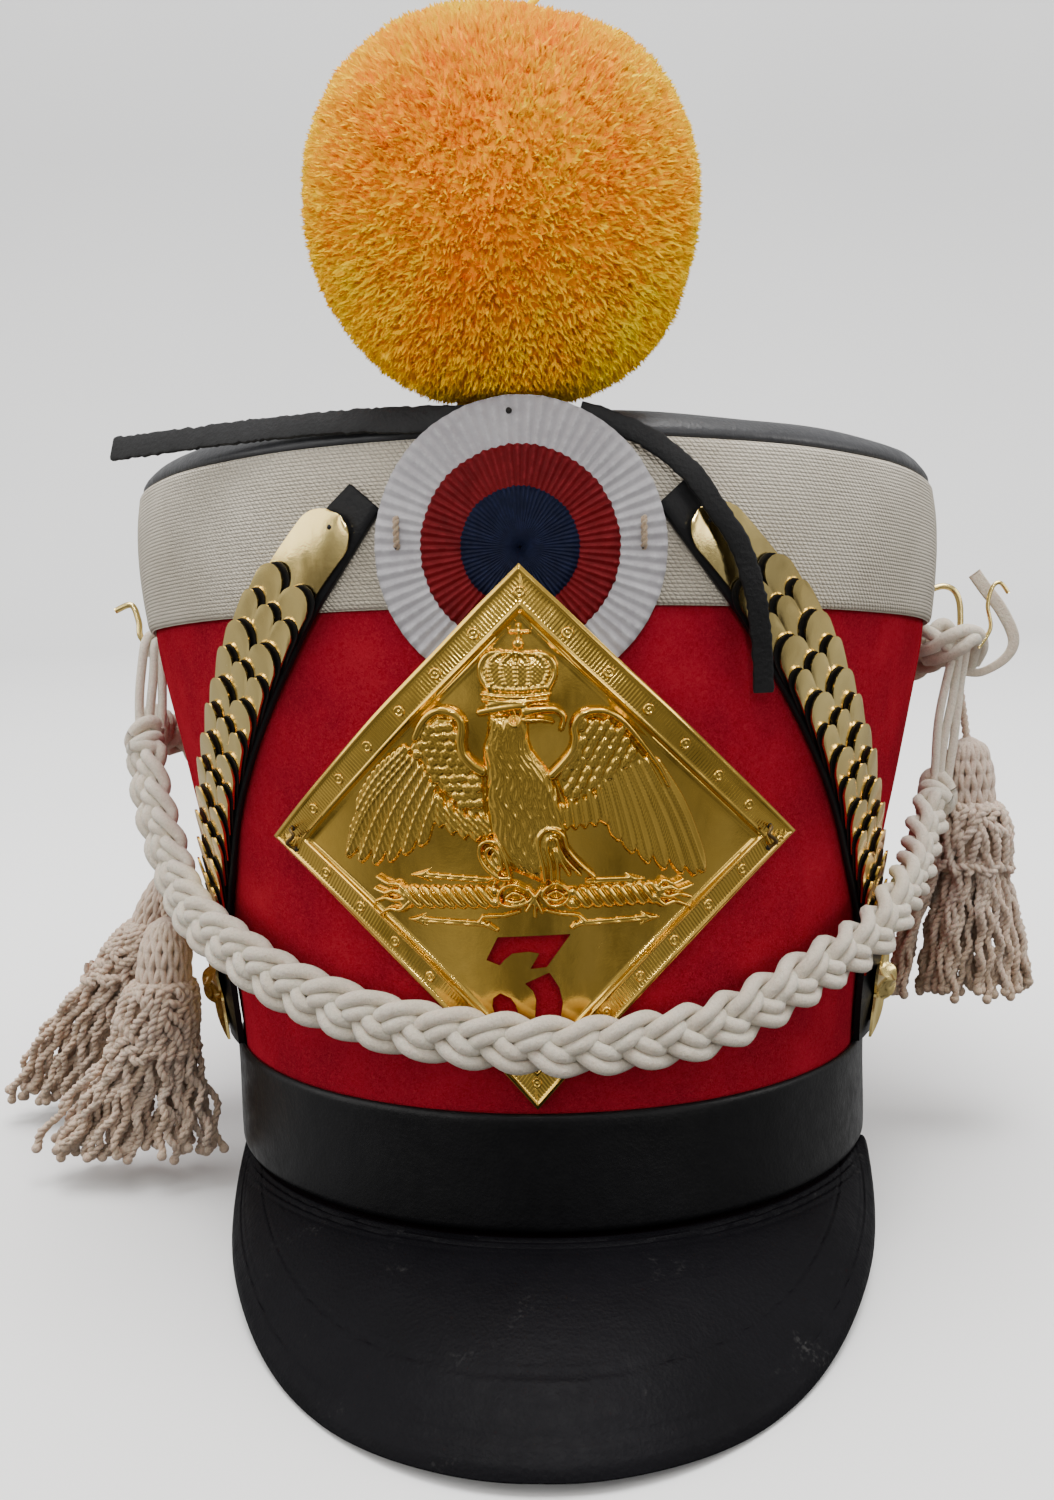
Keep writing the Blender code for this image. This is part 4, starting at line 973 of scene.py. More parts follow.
LONG_RIGHT = (
    (28.3, 107.2, 42.3, 83.2),
    (26.2, 107.6, 40.2, 82.6),
    (24.2, 107.4, 36.6, 83.2),
    (22.3, 106.8, 32.2, 84.4),
    (20.4, 106.0, 28.0, 86.0),
    (18.6, 104.8, 24.0, 88.4),
    (17.0, 103.8, 20.8, 91.2),
)
SHORT_LEFT = (
    (-19.5, 100.3, -20.2, 94.4), (-17.4, 98.9, -17.6, 92.8), (-15.2, 97.8, -14.8, 91.8),
    (-12.7, 97.0, -12.0, 91.3), (-10.3, 96.8, -9.6, 92.0),
)
SHORT_RIGHT = (
    (15.6, 102.6, 17.6, 94.6), (13.6, 101.9, 15.2, 94.3), (11.6, 100.8, 12.9, 94.0),
    (9.7, 99.9, 10.7, 93.8), (7.9, 98.5, 8.7, 93.8),
)
RIDGE_LEFT = (
    (-23.0, 113.4), (-21.0, 116.6), (-18.8, 118.5), (-16.6, 119.1), (-14.4, 118.5), (-13.0, 117.0),
    (-12.9, 114.8), (-13.4, 112.2), (-13.0, 109.6), (-11.2, 107.4), (-9.4, 106.2),
)
RIDGE_RIGHT = (
    (5.6, 105.2), (7.9, 107.6), (9.9, 110.3), (10.5, 113.0), (10.2, 115.4), (11.2, 117.4), (13.0, 118.4),
    (15.2, 118.6), (17.6, 118.1), (20.2, 116.4), (23.0, 113.4), (26.0, 109.9), (28.8, 106.4), (31.2, 102.6),
)
THIGH_LEFT = (
    (
        (-4.8, 82.8), (-7.3, 83.0), (-10.1, 85.2), (-11.4, 88.0), (-10.9, 90.3), (-9.0, 91.0), (-7.0, 90.4),
        (-6.0, 88.0), (-5.2, 85.6), (-4.7, 83.6),
    ),
    ((-7.4, 84.5), (-9.4, 86.6), (-9.9, 88.6), (-8.8, 89.6), (-7.5, 88.8), (-6.8, 86.8), (-6.4, 84.8)),
    ((-7.6, 86.0), (-8.4, 87.6), (-8.2, 88.2)),
)
THIGH_RIGHT = (
    (
        (3.4, 82.4), (3.0, 86.0), (2.2, 89.6), (2.4, 92.0), (4.0, 93.5), (6.2, 93.4), (7.9, 92.0),
        (8.8, 89.2), (11.4, 86.1), (15.0, 83.0),
    ),
    (
        (5.0, 82.6), (4.8, 86.0), (4.0, 89.4), (4.6, 91.6), (6.2, 91.4), (7.0, 89.2), (8.6, 86.6),
        (11.6, 83.6),
    ),
    ((6.4, 82.6), (6.4, 85.6), (5.7, 88.6), (6.2, 88.8), (7.4, 86.4), (9.2, 83.6)),
)
BOLT_LEFT, BOLT_RIGHT = ((-31.0, 78.3), (-9.0, 78.6)), ((10.2, 78.3), (30.4, 78.8))
FLAMES = (
    ((-30.0, 78.8), (-32.4, 81.0), (-35.2, 81.2), (-38.0, 82.6)),
    ((-30.6, 78.3), (-33.6, 79.6), (-36.2, 79.0), (-39.0, 79.9)),
    ((-30.6, 77.7), (-33.8, 77.4), (-36.4, 77.8), (-39.4, 76.8)),
    ((-30.0, 77.0), (-32.6, 75.2), (-35.4, 75.4), (-38.4, 74.0)),
    ((30.0, 79.6), (32.0, 81.4), (34.4, 80.6), (37.0, 81.6)),
    ((30.6, 79.0), (33.4, 79.8), (36.0, 79.2), (39.6, 80.2)),
    ((30.6, 78.4), (33.6, 77.8), (36.2, 78.2), (39.6, 77.3)),
    ((30.0, 77.8), (32.4, 76.0), (35.2, 76.6), (39.2, 75.2)),
)
KNOT = (
    (
        (-7.6, 78.8), (-6.6, 80.6), (-4.0, 81.4), (-1.2, 80.4), (0.4, 78.8), (-1.4, 77.2), (-4.6, 76.6),
        (-7.2, 77.2), (-7.6, 78.8),
    ),
    ((-5.8, 78.6), (-4.0, 79.6), (-1.6, 78.8)),
    ((-5.8, 77.9), (-3.6, 77.5), (-1.4, 78.2)),
    (
        (2.6, 78.8), (3.6, 80.6), (6.0, 81.6), (8.4, 80.4), (9.0, 78.6), (7.4, 77.0), (4.6, 76.8),
        (2.6, 78.8),
    ),
    ((4.0, 79.0), (6.0, 79.9), (7.8, 79.0)),
    ((4.2, 78.2), (6.0, 77.9), (7.6, 78.4)),
    ((-0.4, 80.4), (1.0, 78.4), (2.6, 75.2)),
    ((2.4, 80.2), (0.8, 78.2), (-1.2, 75.6)),
    ((1.0, 78.2), (0.9, 74.4)),
)
ARROWS = (
    # tip_x, tip_y, foot_x, foot_y
    (-29.2, 83.3, -10.0, 82.3),
    (-31.4, 73.2, -11.4, 72.5),
    (27.8, 82.0, 13.4, 81.9),
    (32.0, 73.2, 11.4, 72.5),
)
ZIGZAGS = (
    ((-10.4, 72.5), (-8.6, 71.2), (-12.8, 72.9), (-11.8, 74.2), (-6.6, 74.4), (-2.9, 75.4)),
    ((-10.0, 82.4), (-7.6, 82.9), (-8.6, 81.4)),
    ((10.6, 72.5), (9.8, 71.6), (13.0, 73.0), (11.4, 74.4), (7.0, 74.8), (3.6, 75.6)),
)


EYE = (-1.9, 116.9)
BEAK = ((0.4, 118.6), (3.7, 119.1), (6.6, 118.9), (8.0, 117.8), (8.1, 116.6), (7.6, 115.0))
HEAD = (
    # line, half_width, height, end, base
    (BEAK, 1.15, 2.6, 0.45, 0.9),
    (((0.6, 116.8), (3.4, 116.9), (5.8, 116.5)), 0.70, 2.1, 0.6, 0.7),
    (((-8.8, 118.6), (-4.0, 119.4), (0.2, 120.0)), 0.85, 2.4, 1.0, 0.8),
    (((-7.2, 120.0), (-3.4, 120.6), (0.8, 120.5)), 0.55, 2.2, 0.8, 0.8),
)
CROWN_SIDES = (
    ((-6.6, 123.2), (-8.1, 125.8), (-8.1, 128.4), (-6.6, 130.4), (-4.2, 130.9)),
    ((5.0, 123.2), (6.3, 125.8), (6.4, 128.0), (5.2, 129.8), (2.8, 130.6)),
)


def to_segment(x, y, a, b):
    """Distance from points to a segment, and the share of the way along it."""
    dx, dy = b[0] - a[0], b[1] - a[1]
    t = np.clip(((x - a[0]) * dx + (y - a[1]) * dy) / (dx * dx + dy * dy), 0, 1)
    return np.hypot(x - a[0] - t * dx, y - a[1] - t * dy), t


def inside(x, y, outline):
    """How far points lie inside an outline: negative outside."""
    outline = list(outline)
    near = np.full(x.shape, 1e9)
    odd = np.zeros(x.shape, bool)
    for a, b in zip(outline, outline[1:] + outline[:1]):
        near = np.minimum(near, to_segment(x, y, a, b)[0])
        if a[1] != b[1]:
            crossing = (y >= min(a[1], b[1])) & (y < max(a[1], b[1]))
            odd ^= crossing & (x < a[0] + (y - a[1]) / (b[1] - a[1]) * (b[0] - a[0]))
    return np.where(odd, near, -near)


def rounded(share):
    """The rise of a rounded form, where share goes from 0 at its middle to 1 at its edge."""
    return np.sqrt(np.clip(1 - np.clip(share, 0, 1) ** 2, 0, 1))


def side_point(name, to, sag, share, inset=0.0):
    """Places along one side of the plate, which sags in a little, or set in from it."""
    (x, y), (to_x, to_y) = CORNERS[name], CORNERS[to]
    length = math.hypot(to_x - x, to_y - y)
    inward = (sag * 4 * share * (1 - share) + inset) / length
    across, up = x + (to_x - x) * share + (to_y - y) * inward, y + (to_y - y) * share - (to_x - x) * inward
    return np.stack([across, up], -1)


def plate_outline():
    share = np.arange(24) / 24
    return [tuple(p) for side in SIDES for p in side_point(*side, share)]


def on_plate(x, y, rise):
    """Places on the plate's face as it is bent round the hat, raised by some millimetres."""
    hollow = 0.08 * np.sin(x / 17.0 + 1) * np.sin(y / 13.0)
    stand = smooth(PLATE_STAND)(y * MM) + (PLATE_THICK + hollow + rise) * MM
    return hat(np.degrees(x * MM / FRONT_RADIUS), y * MM, stand)


class Relief:
    """Heights raised over a fine flat grid, in millimetres, by mounds, ridges and feathers."""

    def __init__(self, left, right, low, high, step):
        self.xs, self.ys = np.arange(left, right, step), np.arange(low, high, step)
        self.x, self.y = spread(self.xs, self.ys)
        self.form = np.zeros(self.x.shape)

    def near(self, points, reach):
        low, high = np.min(points, axis=0) - reach, np.max(points, axis=0) + reach
        i, j = (np.searchsorted(v, (low[k], high[k])) for k, v in enumerate((self.xs, self.ys)))
        part = np.s_[i[0] : i[1], j[0] : j[1]]
        return part, self.x[part], self.y[part]

    def lift(self, part, height):
        self.form[part] = np.maximum(self.form[part], height)

    def line(self, points, spacing):
        """Evenly spaced points on a smooth flat curve."""
        return along(np.pad(np.asarray(points, float), ((0, 0), (0, 1))), spacing)[:, :2]

    def follow(self, points, reach):
        """For places near a smooth line: distance, run along it, and distance to its left."""
        line = self.line(points, 0.5)
        part, x, y = self.near(line, reach)
        best, run, left = np.full(x.shape, 1e9), np.zeros(x.shape), np.zeros(x.shape)
        done = 0.0
        for a, b in zip(line[:-1], line[1:]):
            near, t = to_segment(x, y, a, b)
            length = math.hypot(*(b - a))
            better = near < best
            best = np.where(better, near, best)
            run = np.where(better, done + t * length, run)
            side = ((b[0] - a[0]) * (y - a[1]) - (b[1] - a[1]) * (x - a[0])) / length
            left = np.where(better, side, left)
            done += length
        return part, best, run, left, done

    def ridge(self, points, half, height, end=1.0, base=0.0):
        part, near, run, _, length = self.follow(points, half)
        width = half * (1 - (1 - end) * run / length)
        self.lift(part, np.where(near < width, base + (height - base) * rounded(near / width), 0))

    def beads(self, points, radius, height, pitch):
        for spot in self.line(points, pitch):
            part, x, y = self.near([spot], radius)
            near = np.hypot(x - spot[0], y - spot[1]) / radius
            self.lift(part, np.where(near < 1, height - 0.5 + 0.5 * rounded(near), 0))

    def mound(self, outline, width, height):
        part, x, y = self.near(outline, 0.2)
        depth = inside(x, y, outline)
        self.lift(part, np.where(depth > 0, height * rounded(1 - depth / width), 0))
        return part, x, y, depth

    def feather(self, root_x, root_y, tip_x, tip_y, width, height, winding):
        """A long feather: a leaf with a quill, and barbs that slant off it or wind across it."""
        bow = 0.05 * (tip_x - root_x) * (1 if winding else 0.6)
        middle = ((root_x + tip_x) / 2 + bow, (root_y + tip_y) / 2 + 0.03 * abs(tip_x - root_x))
        points = ((root_x, root_y), middle, (tip_x, tip_y))
        part, near, run, left, length = self.follow(points, width)
        share = run / length
        half = width * (0.62 + 0.38 * np.clip(share / 0.35, 0, 1)) * rounded((share - 0.80) / 0.22)
        cover = near / np.maximum(half, 0.05)
        form = 0.35 + (height - 0.35) * (1 - 0.55 * np.clip(cover, 0, 1) ** 1.6)
        if winding:
            form = form + 0.17 * np.sin(2 * np.pi * (run - 1.5 * left) / 1.9)
        else:
            form = form + 0.07 * np.sin(2 * np.pi * (run - 1.3 * near) / 0.85)
        form = form + 0.34 * np.exp(-((near / 0.20) ** 2))
        self.lift(part, np.where(cover < 1, form, 0))


def read_edge(rows, y):
    rows = np.array(rows)[::-1]
    return np.interp(y, rows[:, 1], rows[:, 0])


def eagle_body(relief):
    """The body in long wavy hackles, and the head's beak, brow and ringed eye."""
    part, x, y, depth = relief.mound(list(BODY_LEFT) + list(BODY_RIGHT)[::-1][1:], 4.6, 2.3)
    low, high = read_edge(BODY_LEFT, y), read_edge(BODY_RIGHT, y)
    share = np.clip((x - low) / np.maximum(high - low, 1.0), 0, 1)
    strands = 16 * share + 0.50 * np.sin(2 * np.pi * y / 11.0 + 2 * share)
    lock = np.floor(strands)
    drift = 0.16 * np.sin(2 * np.pi * y / 6.1 + 2.3 * lock)
    shift = 0.5 + drift + 0.07 * np.sin(2 * np.pi * y / 3.1 + 4.1 * lock)
    hackle = 0.38 * rounded(np.abs(strands - lock - shift) / 0.52) - 0.26
    eye_x, eye_y = EYE
    calm = np.clip((np.hypot(x - eye_x, y - eye_y) - 1.4) / 0.8, 0, 1)
    relief.form[part] += np.where(depth > 0.15, calm * hackle * np.clip(depth / 0.5, 0, 1), 0)
    for line in HEAD:
        relief.ridge(*line)
    part, x, y = relief.near([EYE], 2.0)
    eye = np.hypot(x - eye_x, y - eye_y)
    for at, width, height in ((1.15, 0.26, 0.55), (0.65, 0.24, -0.55), (0.0, 0.3, 0.40)):
        relief.form[part] += height * np.exp(-(((eye - at) / width) ** 2))


def eagle_crown(relief):
    part, x, y, depth = relief.mound(CROWN, 3.4, 2.1)
    cloth = 0.13 * np.sin(2 * np.pi * x / 0.95) * np.sin(2 * np.pi * y / 0.95)
    relief.form[part] += np.where(depth > 0.6, cloth, 0)
    for line in CROWN_SIDES:
        relief.ridge(line, 0.72, 2.1, 0.9, 0.8)
    for arch in CROWN_ARCHES:
        relief.beads(arch, 0.42, 2.55, 0.80)
    relief.beads(((-6.6, 123.7), (-1.3, 123.1), (4.4, 123.6)), 0.55, 2.5, 1.25)
    relief.ridge(((-8.2, 122.3), (-3.8, 121.7), (1.2, 121.7), (5.3, 122.2)), 0.42, 2.3, 1.0, 1.0)
    relief.ridge(((-8.0, 121.2), (-3.8, 120.8), (1.2, 120.8), (4.8, 121.2)), 0.42, 2.1, 1.0, 1.0)
    relief.beads(((-0.6, 132.5), (-0.6, 132.5)), 1.05, 1.9, 1.0)
    relief.ridge(((-0.4, 133.6), (-0.4, 136.4)), 0.42, 1.2)
    relief.ridge(((-2.1, 135.1), (1.5, 134.9)), 0.40, 1.2)


def eagle_wings(relief):
    """Rows of long and short feathers under small overlapping ones, and each wing's thick edge."""
    for rows, width, height, winding in (
        (LONG_LEFT, 1.75, 1.25, True),
        (LONG_RIGHT, 1.95, 1.25, False),
        (SHORT_LEFT, 1.45, 1.35, True),
        (SHORT_RIGHT, 1.25, 1.25, False),
    ):
        for row in rows:
            relief.feather(*row, width, height, winding)
    seed = np.random.default_rng(5)
    for outline, upright, pitch, wide, tall in (
        (COVERTS_LEFT, 0, 2.05, 1.2, 1.1),
        (COVERTS_RIGHT, 1, 2.3, 1.0, 1.5),
    ):
        relief.mound(outline, 1.0, 1.05)
        for row, low in enumerate(np.arange(95.5, 119.0, pitch * 0.88)):
            for start in np.arange(-27.0, 27.0, pitch) + (row % 2) * pitch / 2:
                spot = np.array([start, low]) + seed.uniform(-0.25, 0.25, 2)
                if inside(spot[:1], spot[1:], outline)[0] < 0.7:
                    continue
                part, x, y = relief.near([spot], 1.6)
                near = np.hypot((x - spot[0] - 0.2 * (y - spot[1]) * upright) / wide, (y - spot[1]) / tall)
                bud = 1.0 + (0.66 + 0.2 * seed.random()) * rounded(near)
                bud -= 0.10 * np.exp(-(((near - 0.40) / 0.16) ** 2))
                relief.lift(part, np.where(near < 1, bud, 0))
    relief.ridge(RIDGE_LEFT[::-1], 1.30, 2.15, 0.75, 0.6)
    relief.ridge(RIDGE_RIGHT, 1.15, 2.15, 0.45, 0.6)


def eagle_legs_and_bolt(relief):
    for loops, high in ((THIGH_LEFT, 2.25), (THIGH_RIGHT, 3.0)):
        for depth, line in enumerate(loops):
            relief.ridge(line, 0.72, high - 0.1 * depth, 0.8, 0.9)
    for twist in (BOLT_LEFT, BOLT_RIGHT):
        part, near, run, left, _ = relief.follow(twist, 2.9)
        tooth = (run + 0.75 * left) / 2.75
        bulge = np.abs(np.sin(np.pi * tooth))
        half = 2.15 + 0.55 * bulge
        form = 0.3 + (0.25 + 1.4 * bulge**0.8) * rounded(near / half) + 0.03 * np.sin(2 * np.pi * tooth * 3)
        relief.lift(part, np.where(near < half, form, 0))
    for line in FLAMES:
        relief.ridge(line, 0.85, 1.75, 0.35, 0.4)
    for line in KNOT:
        relief.ridge(line, 0.52, 2.15, 0.9, 0.9)
    for tip_x, tip_y, foot_x, foot_y in ARROWS:
        way = math.copysign(1.0, tip_x)
        for apart in (-0.32, 0.32):
            shaft = ((tip_x - 3.6 * way, tip_y + apart), (foot_x, foot_y + apart))
            relief.ridge(shaft, 0.30, 0.95, 1.0, 0.4)
        head = [(tip_x - back * way, tip_y + up) for back, up in ((0, 0), (5.4, 1.5), (4.0, 0), (5.4, -1.6))]
        relief.mound(head, 0.8, 1.05)
    for line in ZIGZAGS:
        for a, b in zip(line[:-1], line[1:]):
            relief.ridge((a, b), 0.45, 1.1, 1.0, 0.3)


def eagle(brass):
    """The stamped eagle with its crown and thunderbolt, as a fine sheet raised off the plate."""
    relief = Relief(-47.0, 44.0, 69.5, 138.0, 0.20)
    for draw in (eagle_wings, eagle_body, eagle_crown, eagle_legs_and_bolt):
        draw(relief)
    form = relief.form
    beside = form[2:, 1:-1] + form[:-2, 1:-1] + form[1:-1, 2:] + form[1:-1, :-2]
    smoothed = form.copy()
    smoothed[1:-1, 1:-1] = 0.5 * form[1:-1, 1:-1] + 0.125 * beside
    points = on_plate(relief.x, relief.y, smoothed - 0.05).reshape(-1, 3)
    quads = grid_faces(*form.shape)
    quads = quads[(form.ravel()[quads] > 0.02).any(1)]
    used, place = np.unique(quads, return_inverse=True)
    uv = np.stack([relief.x, 0 * relief.y + 20], -1).reshape(-1, 2) * MM
    Pile().add(points[used], place.reshape(quads.shape), uv=uv[used]).piece("plate_eagle", brass, "brass")


def plate_look():
    """Polished brass, with fine lines pressed square to the edge all along the border."""
    look = brass_look("plate brass")
    place = look.parts(look.where("UV"))
    wave = look.sum("SINE", look.times(place[0], 2 * math.pi / (0.80 * MM)))
    border = look.ramp(look.times(place[1], 100.0), (0.13, 0.0), (0.15, 1.0), (0.50, 1.0), (0.54, 0.0))
    faint = look.ramp(look.noise(60, 3), (0.35, 0.35), (0.6, 1.0))
    look.bump(look.times(look.times(wave, border), faint), 0.00010, 0.45)
    return look


def plate(brass):
    """The plate: a sheet with its pressed border, pierced by the number, bent to the hat."""
    rim = [0, 0.3, 0.55, 0.8, 1.05, 1.3, 1.7, 2.6, 3.6, 4.6, 5.3, 5.6]
    rim += [5.85, 6.1, 6.35, 6.6, 6.85, 7.1, 7.35, 7.6, 8.0]
    span = 89.5
    field = [*np.arange(8.8, 54.5, 0.95), *np.arange(54.5, 81.2, 0.36)]
    lines = np.array(rim + field + [span - r for r in reversed(rim)]) / span
    size = len(lines)
    total = size * size
    u, v = spread(lines, lines)
    top, right, foot, left = (np.array(CORNERS[k]) for k in ("top", "right", "foot", "left"))
    flat = (1 - u)[..., None] * ((1 - v)[..., None] * top + v[..., None] * right)
    flat += u[..., None] * ((1 - v)[..., None] * left + v[..., None] * foot)
    for (name, to, sag), share, weight in zip(SIDES, (v, u, 1 - v, 1 - u), (1 - u, v, u, 1 - v)):
        flat += weight[..., None] * (side_point(name, to, sag, share) - side_point(name, to, 0.0, share))
    edge = np.abs(inside(flat[..., 0], flat[..., 1], plate_outline())).ravel()
    quads, flat = grid_faces(size, size), flat.reshape(-1, 2)
    middle = flat[quads].mean(1)
    keep = np.ones(len(quads), bool)
    for outline in NUMBER:
        keep &= inside(middle[:, 0], middle[:, 1], outline) < 0
    cut = np.unique(quads[~keep])
    quads = quads[keep]
    used = np.zeros(total, bool)
    used[quads.ravel()] = True
    for index in cut[used[cut]]:
        nearest = []
        for outline in NUMBER:
            for a, b in zip(outline, outline[1:] + outline[:1]):
                near, t = to_segment(*flat[index], a, b)
                nearest.append((near, a[0] + t * (b[0] - a[0]), a[1] + t * (b[1] - a[1])))
        flat[index] = min(nearest, key=lambda found: found[0])[1:]
    x, y = flat[:, 0], flat[:, 1]
    form = np.zeros(total)
    for at, width, height in ((0.75, 0.38, 0.45), (6.0, 0.30, 0.40), (7.2, 0.33, 0.50), (6.6, 0.25, -0.25)):
        form += height * np.exp(-(((edge - at) / width) ** 2))
    front = on_plate(x, y, form)
    back = hat(np.degrees(x * MM / FRONT_RADIUS), y * MM, smooth(PLATE_STAND)(y * MM))
    pairs = np.vstack([quads[:, [k, (k + 1) % 4]] for k in range(4)])
    key = np.sort(pairs, 1) @ np.array([total, 1])
    _, first, counts = np.unique(key, return_index=True, return_counts=True)
    border = pairs[first[counts == 1]]
    skirt = np.hstack([border[:, ::-1], border + total])
    run = 0.755 * x - 0.655 * np.sign(x * (y - CORNERS["right"][1])) * y
    uv = np.stack([run, edge], -1) * MM
    pile = Pile().add(np.vstack([front, back]), np.vstack([quads, skirt]), uv=np.vstack([uv, uv]))
    pile.piece("plate_sheet", brass, "brass", ("plate",), sharp=60)
    eagle(brass)
    rings_and_ties(brass)


RING_PROFILE = (
    (1.32, -0.05), (1.12, 0.30), (0.92, 0.38), (0.72, 0.16), (0.50, 0.10), (0.25, 0.30), (0.03, 0.36),
)
# The bent wire of a tie: along, up and off the plate
TIE = (
    (0.0, 2.5, 0.1), (-0.5, 2.2, 1.3), (-1.4, 0.9, 1.8), (0.2, -0.2, 1.9), (1.4, -1.2, 1.7),
    (0.8, -2.5, 0.1),
)


def rings_and_ties(brass):
    """The small raised rings round the border, and the wire that ties the plate to the hat."""
    spots = [tuple(side_point(*side, 0.055 + 0.127 * k, 3.4)) for side in SIDES for k in range(1, 7)]
    spots += [(0.0, 143.2), (0.0, 36.2), (-64.2, 88.8), (64.2, 88.4)]
    rings, sides = Pile(), 18
    angle = circle(sides)
    for x, y in spots:
        points = []
        for r, rise in RING_PROFILE:
            points.append(on_plate(x + r * np.cos(angle), y + r * np.sin(angle), rise + 0 * angle))
        uv = np.tile((x * MM, 0.02), (len(RING_PROFILE) * sides, 1))
        rings.add(points, grid_faces(len(RING_PROFILE), sides, False, True), uv=uv)
    rings.piece("plate_rings", brass, "brass")
    ties, holes = Pile(), Pile()
    for x, y, lean in ((-61.4, 90.2, -1), (60.2, 89.6, 1)):
        rows = [(a * lean, b, c) for a, b, c in TIE]
        ties.tube(along([on_plate(x + a, y + b, c) for a, b, c in rows], 0.0005), 0.00046)
        # Dark balls at the wire's two ends stand in for the holes in the plate: painted shade.
        for a, b, _ in (rows[0], rows[-1]):
            holes.ball(on_plate(x + a, y + b, -0.15), 0.00075)
    ties.piece("plate_ties", brass_look("tie wire", (0.16, 0.11, 0.05), 0.35), "brass")
    holes.piece("plate_tie_holes", dark_look("tie holes"), "black_leather")


# Near black with faint mottling, used only at holes: painted shade.
def dark_look(name):
    look = Look(name, (0.01, 0.008, 0.006), 0.9)
    look.colour(look.ramp(look.noise(900, 2), (0.3, (0.006, 0.005, 0.004)), (0.7, (0.014, 0.011, 0.009))))
    return look


# ---- straps ------------------------------------------------------------------------------------


STRAP_SECTION = (
    (-1, 0.2), (-0.98, 0), (0, 0), (0.98, 0), (1, 0.2), (1, 0.8), (0.95, 1), (0.6, 1.06), (0, 1.0),
    (-0.95, 1), (-1, 0.8),
)


def strap_line():
    heights = np.linspace(STRAP_ROUTE[0][0], STRAP_ROUTE[-1][0], 61)
    turns = smooth(STRAP_ROUTE)(heights)
    return run_along(hat(turns, heights)), heights, turns


RUNS, HEIGHTS, TURNS = strap_line()


def strap_point(run, across, off, side):
    """Places on a strap: up it, across it towards the front, and off its bearing."""
    run, across, off = np.broadcast_arrays(*(np.asarray(v, float) for v in (run, across, off)))
    extra = np.clip(run - RUNS[-1], 0, None)
    height, turn = np.interp(run, RUNS, HEIGHTS), np.interp(run, RUNS, TURNS)
    ahead, behind = run + 0.002, run - 0.002
    rise, swing = (np.interp(ahead, RUNS, v) - np.interp(behind, RUNS, v) for v in (HEIGHTS, TURNS))
    swing = np.radians(swing) * STRAP_RADIUS
    length = np.hypot(rise, swing)
    height = height + across * swing / length + extra * rise / length
    turn = turn - np.degrees((across * rise - extra * swing) / length / STRAP_RADIUS)
    over = np.clip((height - 0.116) / 0.044, 0, 1)
    bearing = 0.0005 + 0.0034 * over * over * (3 - 2 * over)
    return hat(side * turn, height, bearing + off)


def lobed_sheet(pile, start, length, lobes, side, thick=0.0006, shift=(0.0, 0.0), lift=0.0, plump=0.00035):
    """One scale: a thin sheet with a plain foot and rounded lobes at its top end."""
    radius = (SCALE_INNER + SCALE_OUTER) / lobes / 2
    columns = []
    for lobe in range(lobes):
        middle = SCALE_INNER - radius * (2 * lobe + 1)
        for angle in np.radians(8 + 164 * np.arange(10) / 9):
            bulge = math.sin(angle)
            reach = length - radius * 1.45 + radius * 1.45 * bulge
            columns.append((middle + radius * math.cos(angle), reach, bulge))
    across, reach, swell = np.array(columns).T
    s = np.linspace(0, 1, 10)[:, None] ** 0.8
    run = s * reach[None]
    wide = np.broadcast_to(across, run.shape)
    puff = plump * swell[None] * np.clip(s * 2 - 0.6, 0, 1)
    off = STRAP_THICK + 0.0003 + SCALE_RISE * run + lift
    high = strap_point(start + run + shift[0], wide + shift[1], off + thick + puff, side)
    low = strap_point(start + run + shift[0], wide + shift[1], off + puff, side)
    pile.sheet(low, high, np.stack([wide, run], -1), side > 0)


def tip_sheet(pile, start, side):
    """The rounded plate at a strap's top end."""
    s, w = np.linspace(0, 1, 26)[:, None], np.linspace(-1, 1, 15)[None]
    run = 0.024 * s + 0 * w
    round_end = rounded((run - 0.017) / 0.007)
    left, right = 0.0078 - 0.0009 * s, 0.0058 - 0.0001 * s
    wide = np.where(w < 0, w * left, w * right) * np.maximum(round_end, 0.06) - 0.0006 * s
    off = STRAP_THICK + 0.0003 + 0.04 * run + 0.0003 * (1 - w**2)
    low, high = (strap_point(start + run, wide, off + rise, side) for rise in (0, 0.0006))
    pile.sheet(low, high, np.stack([wide, run], -1), side < 0)


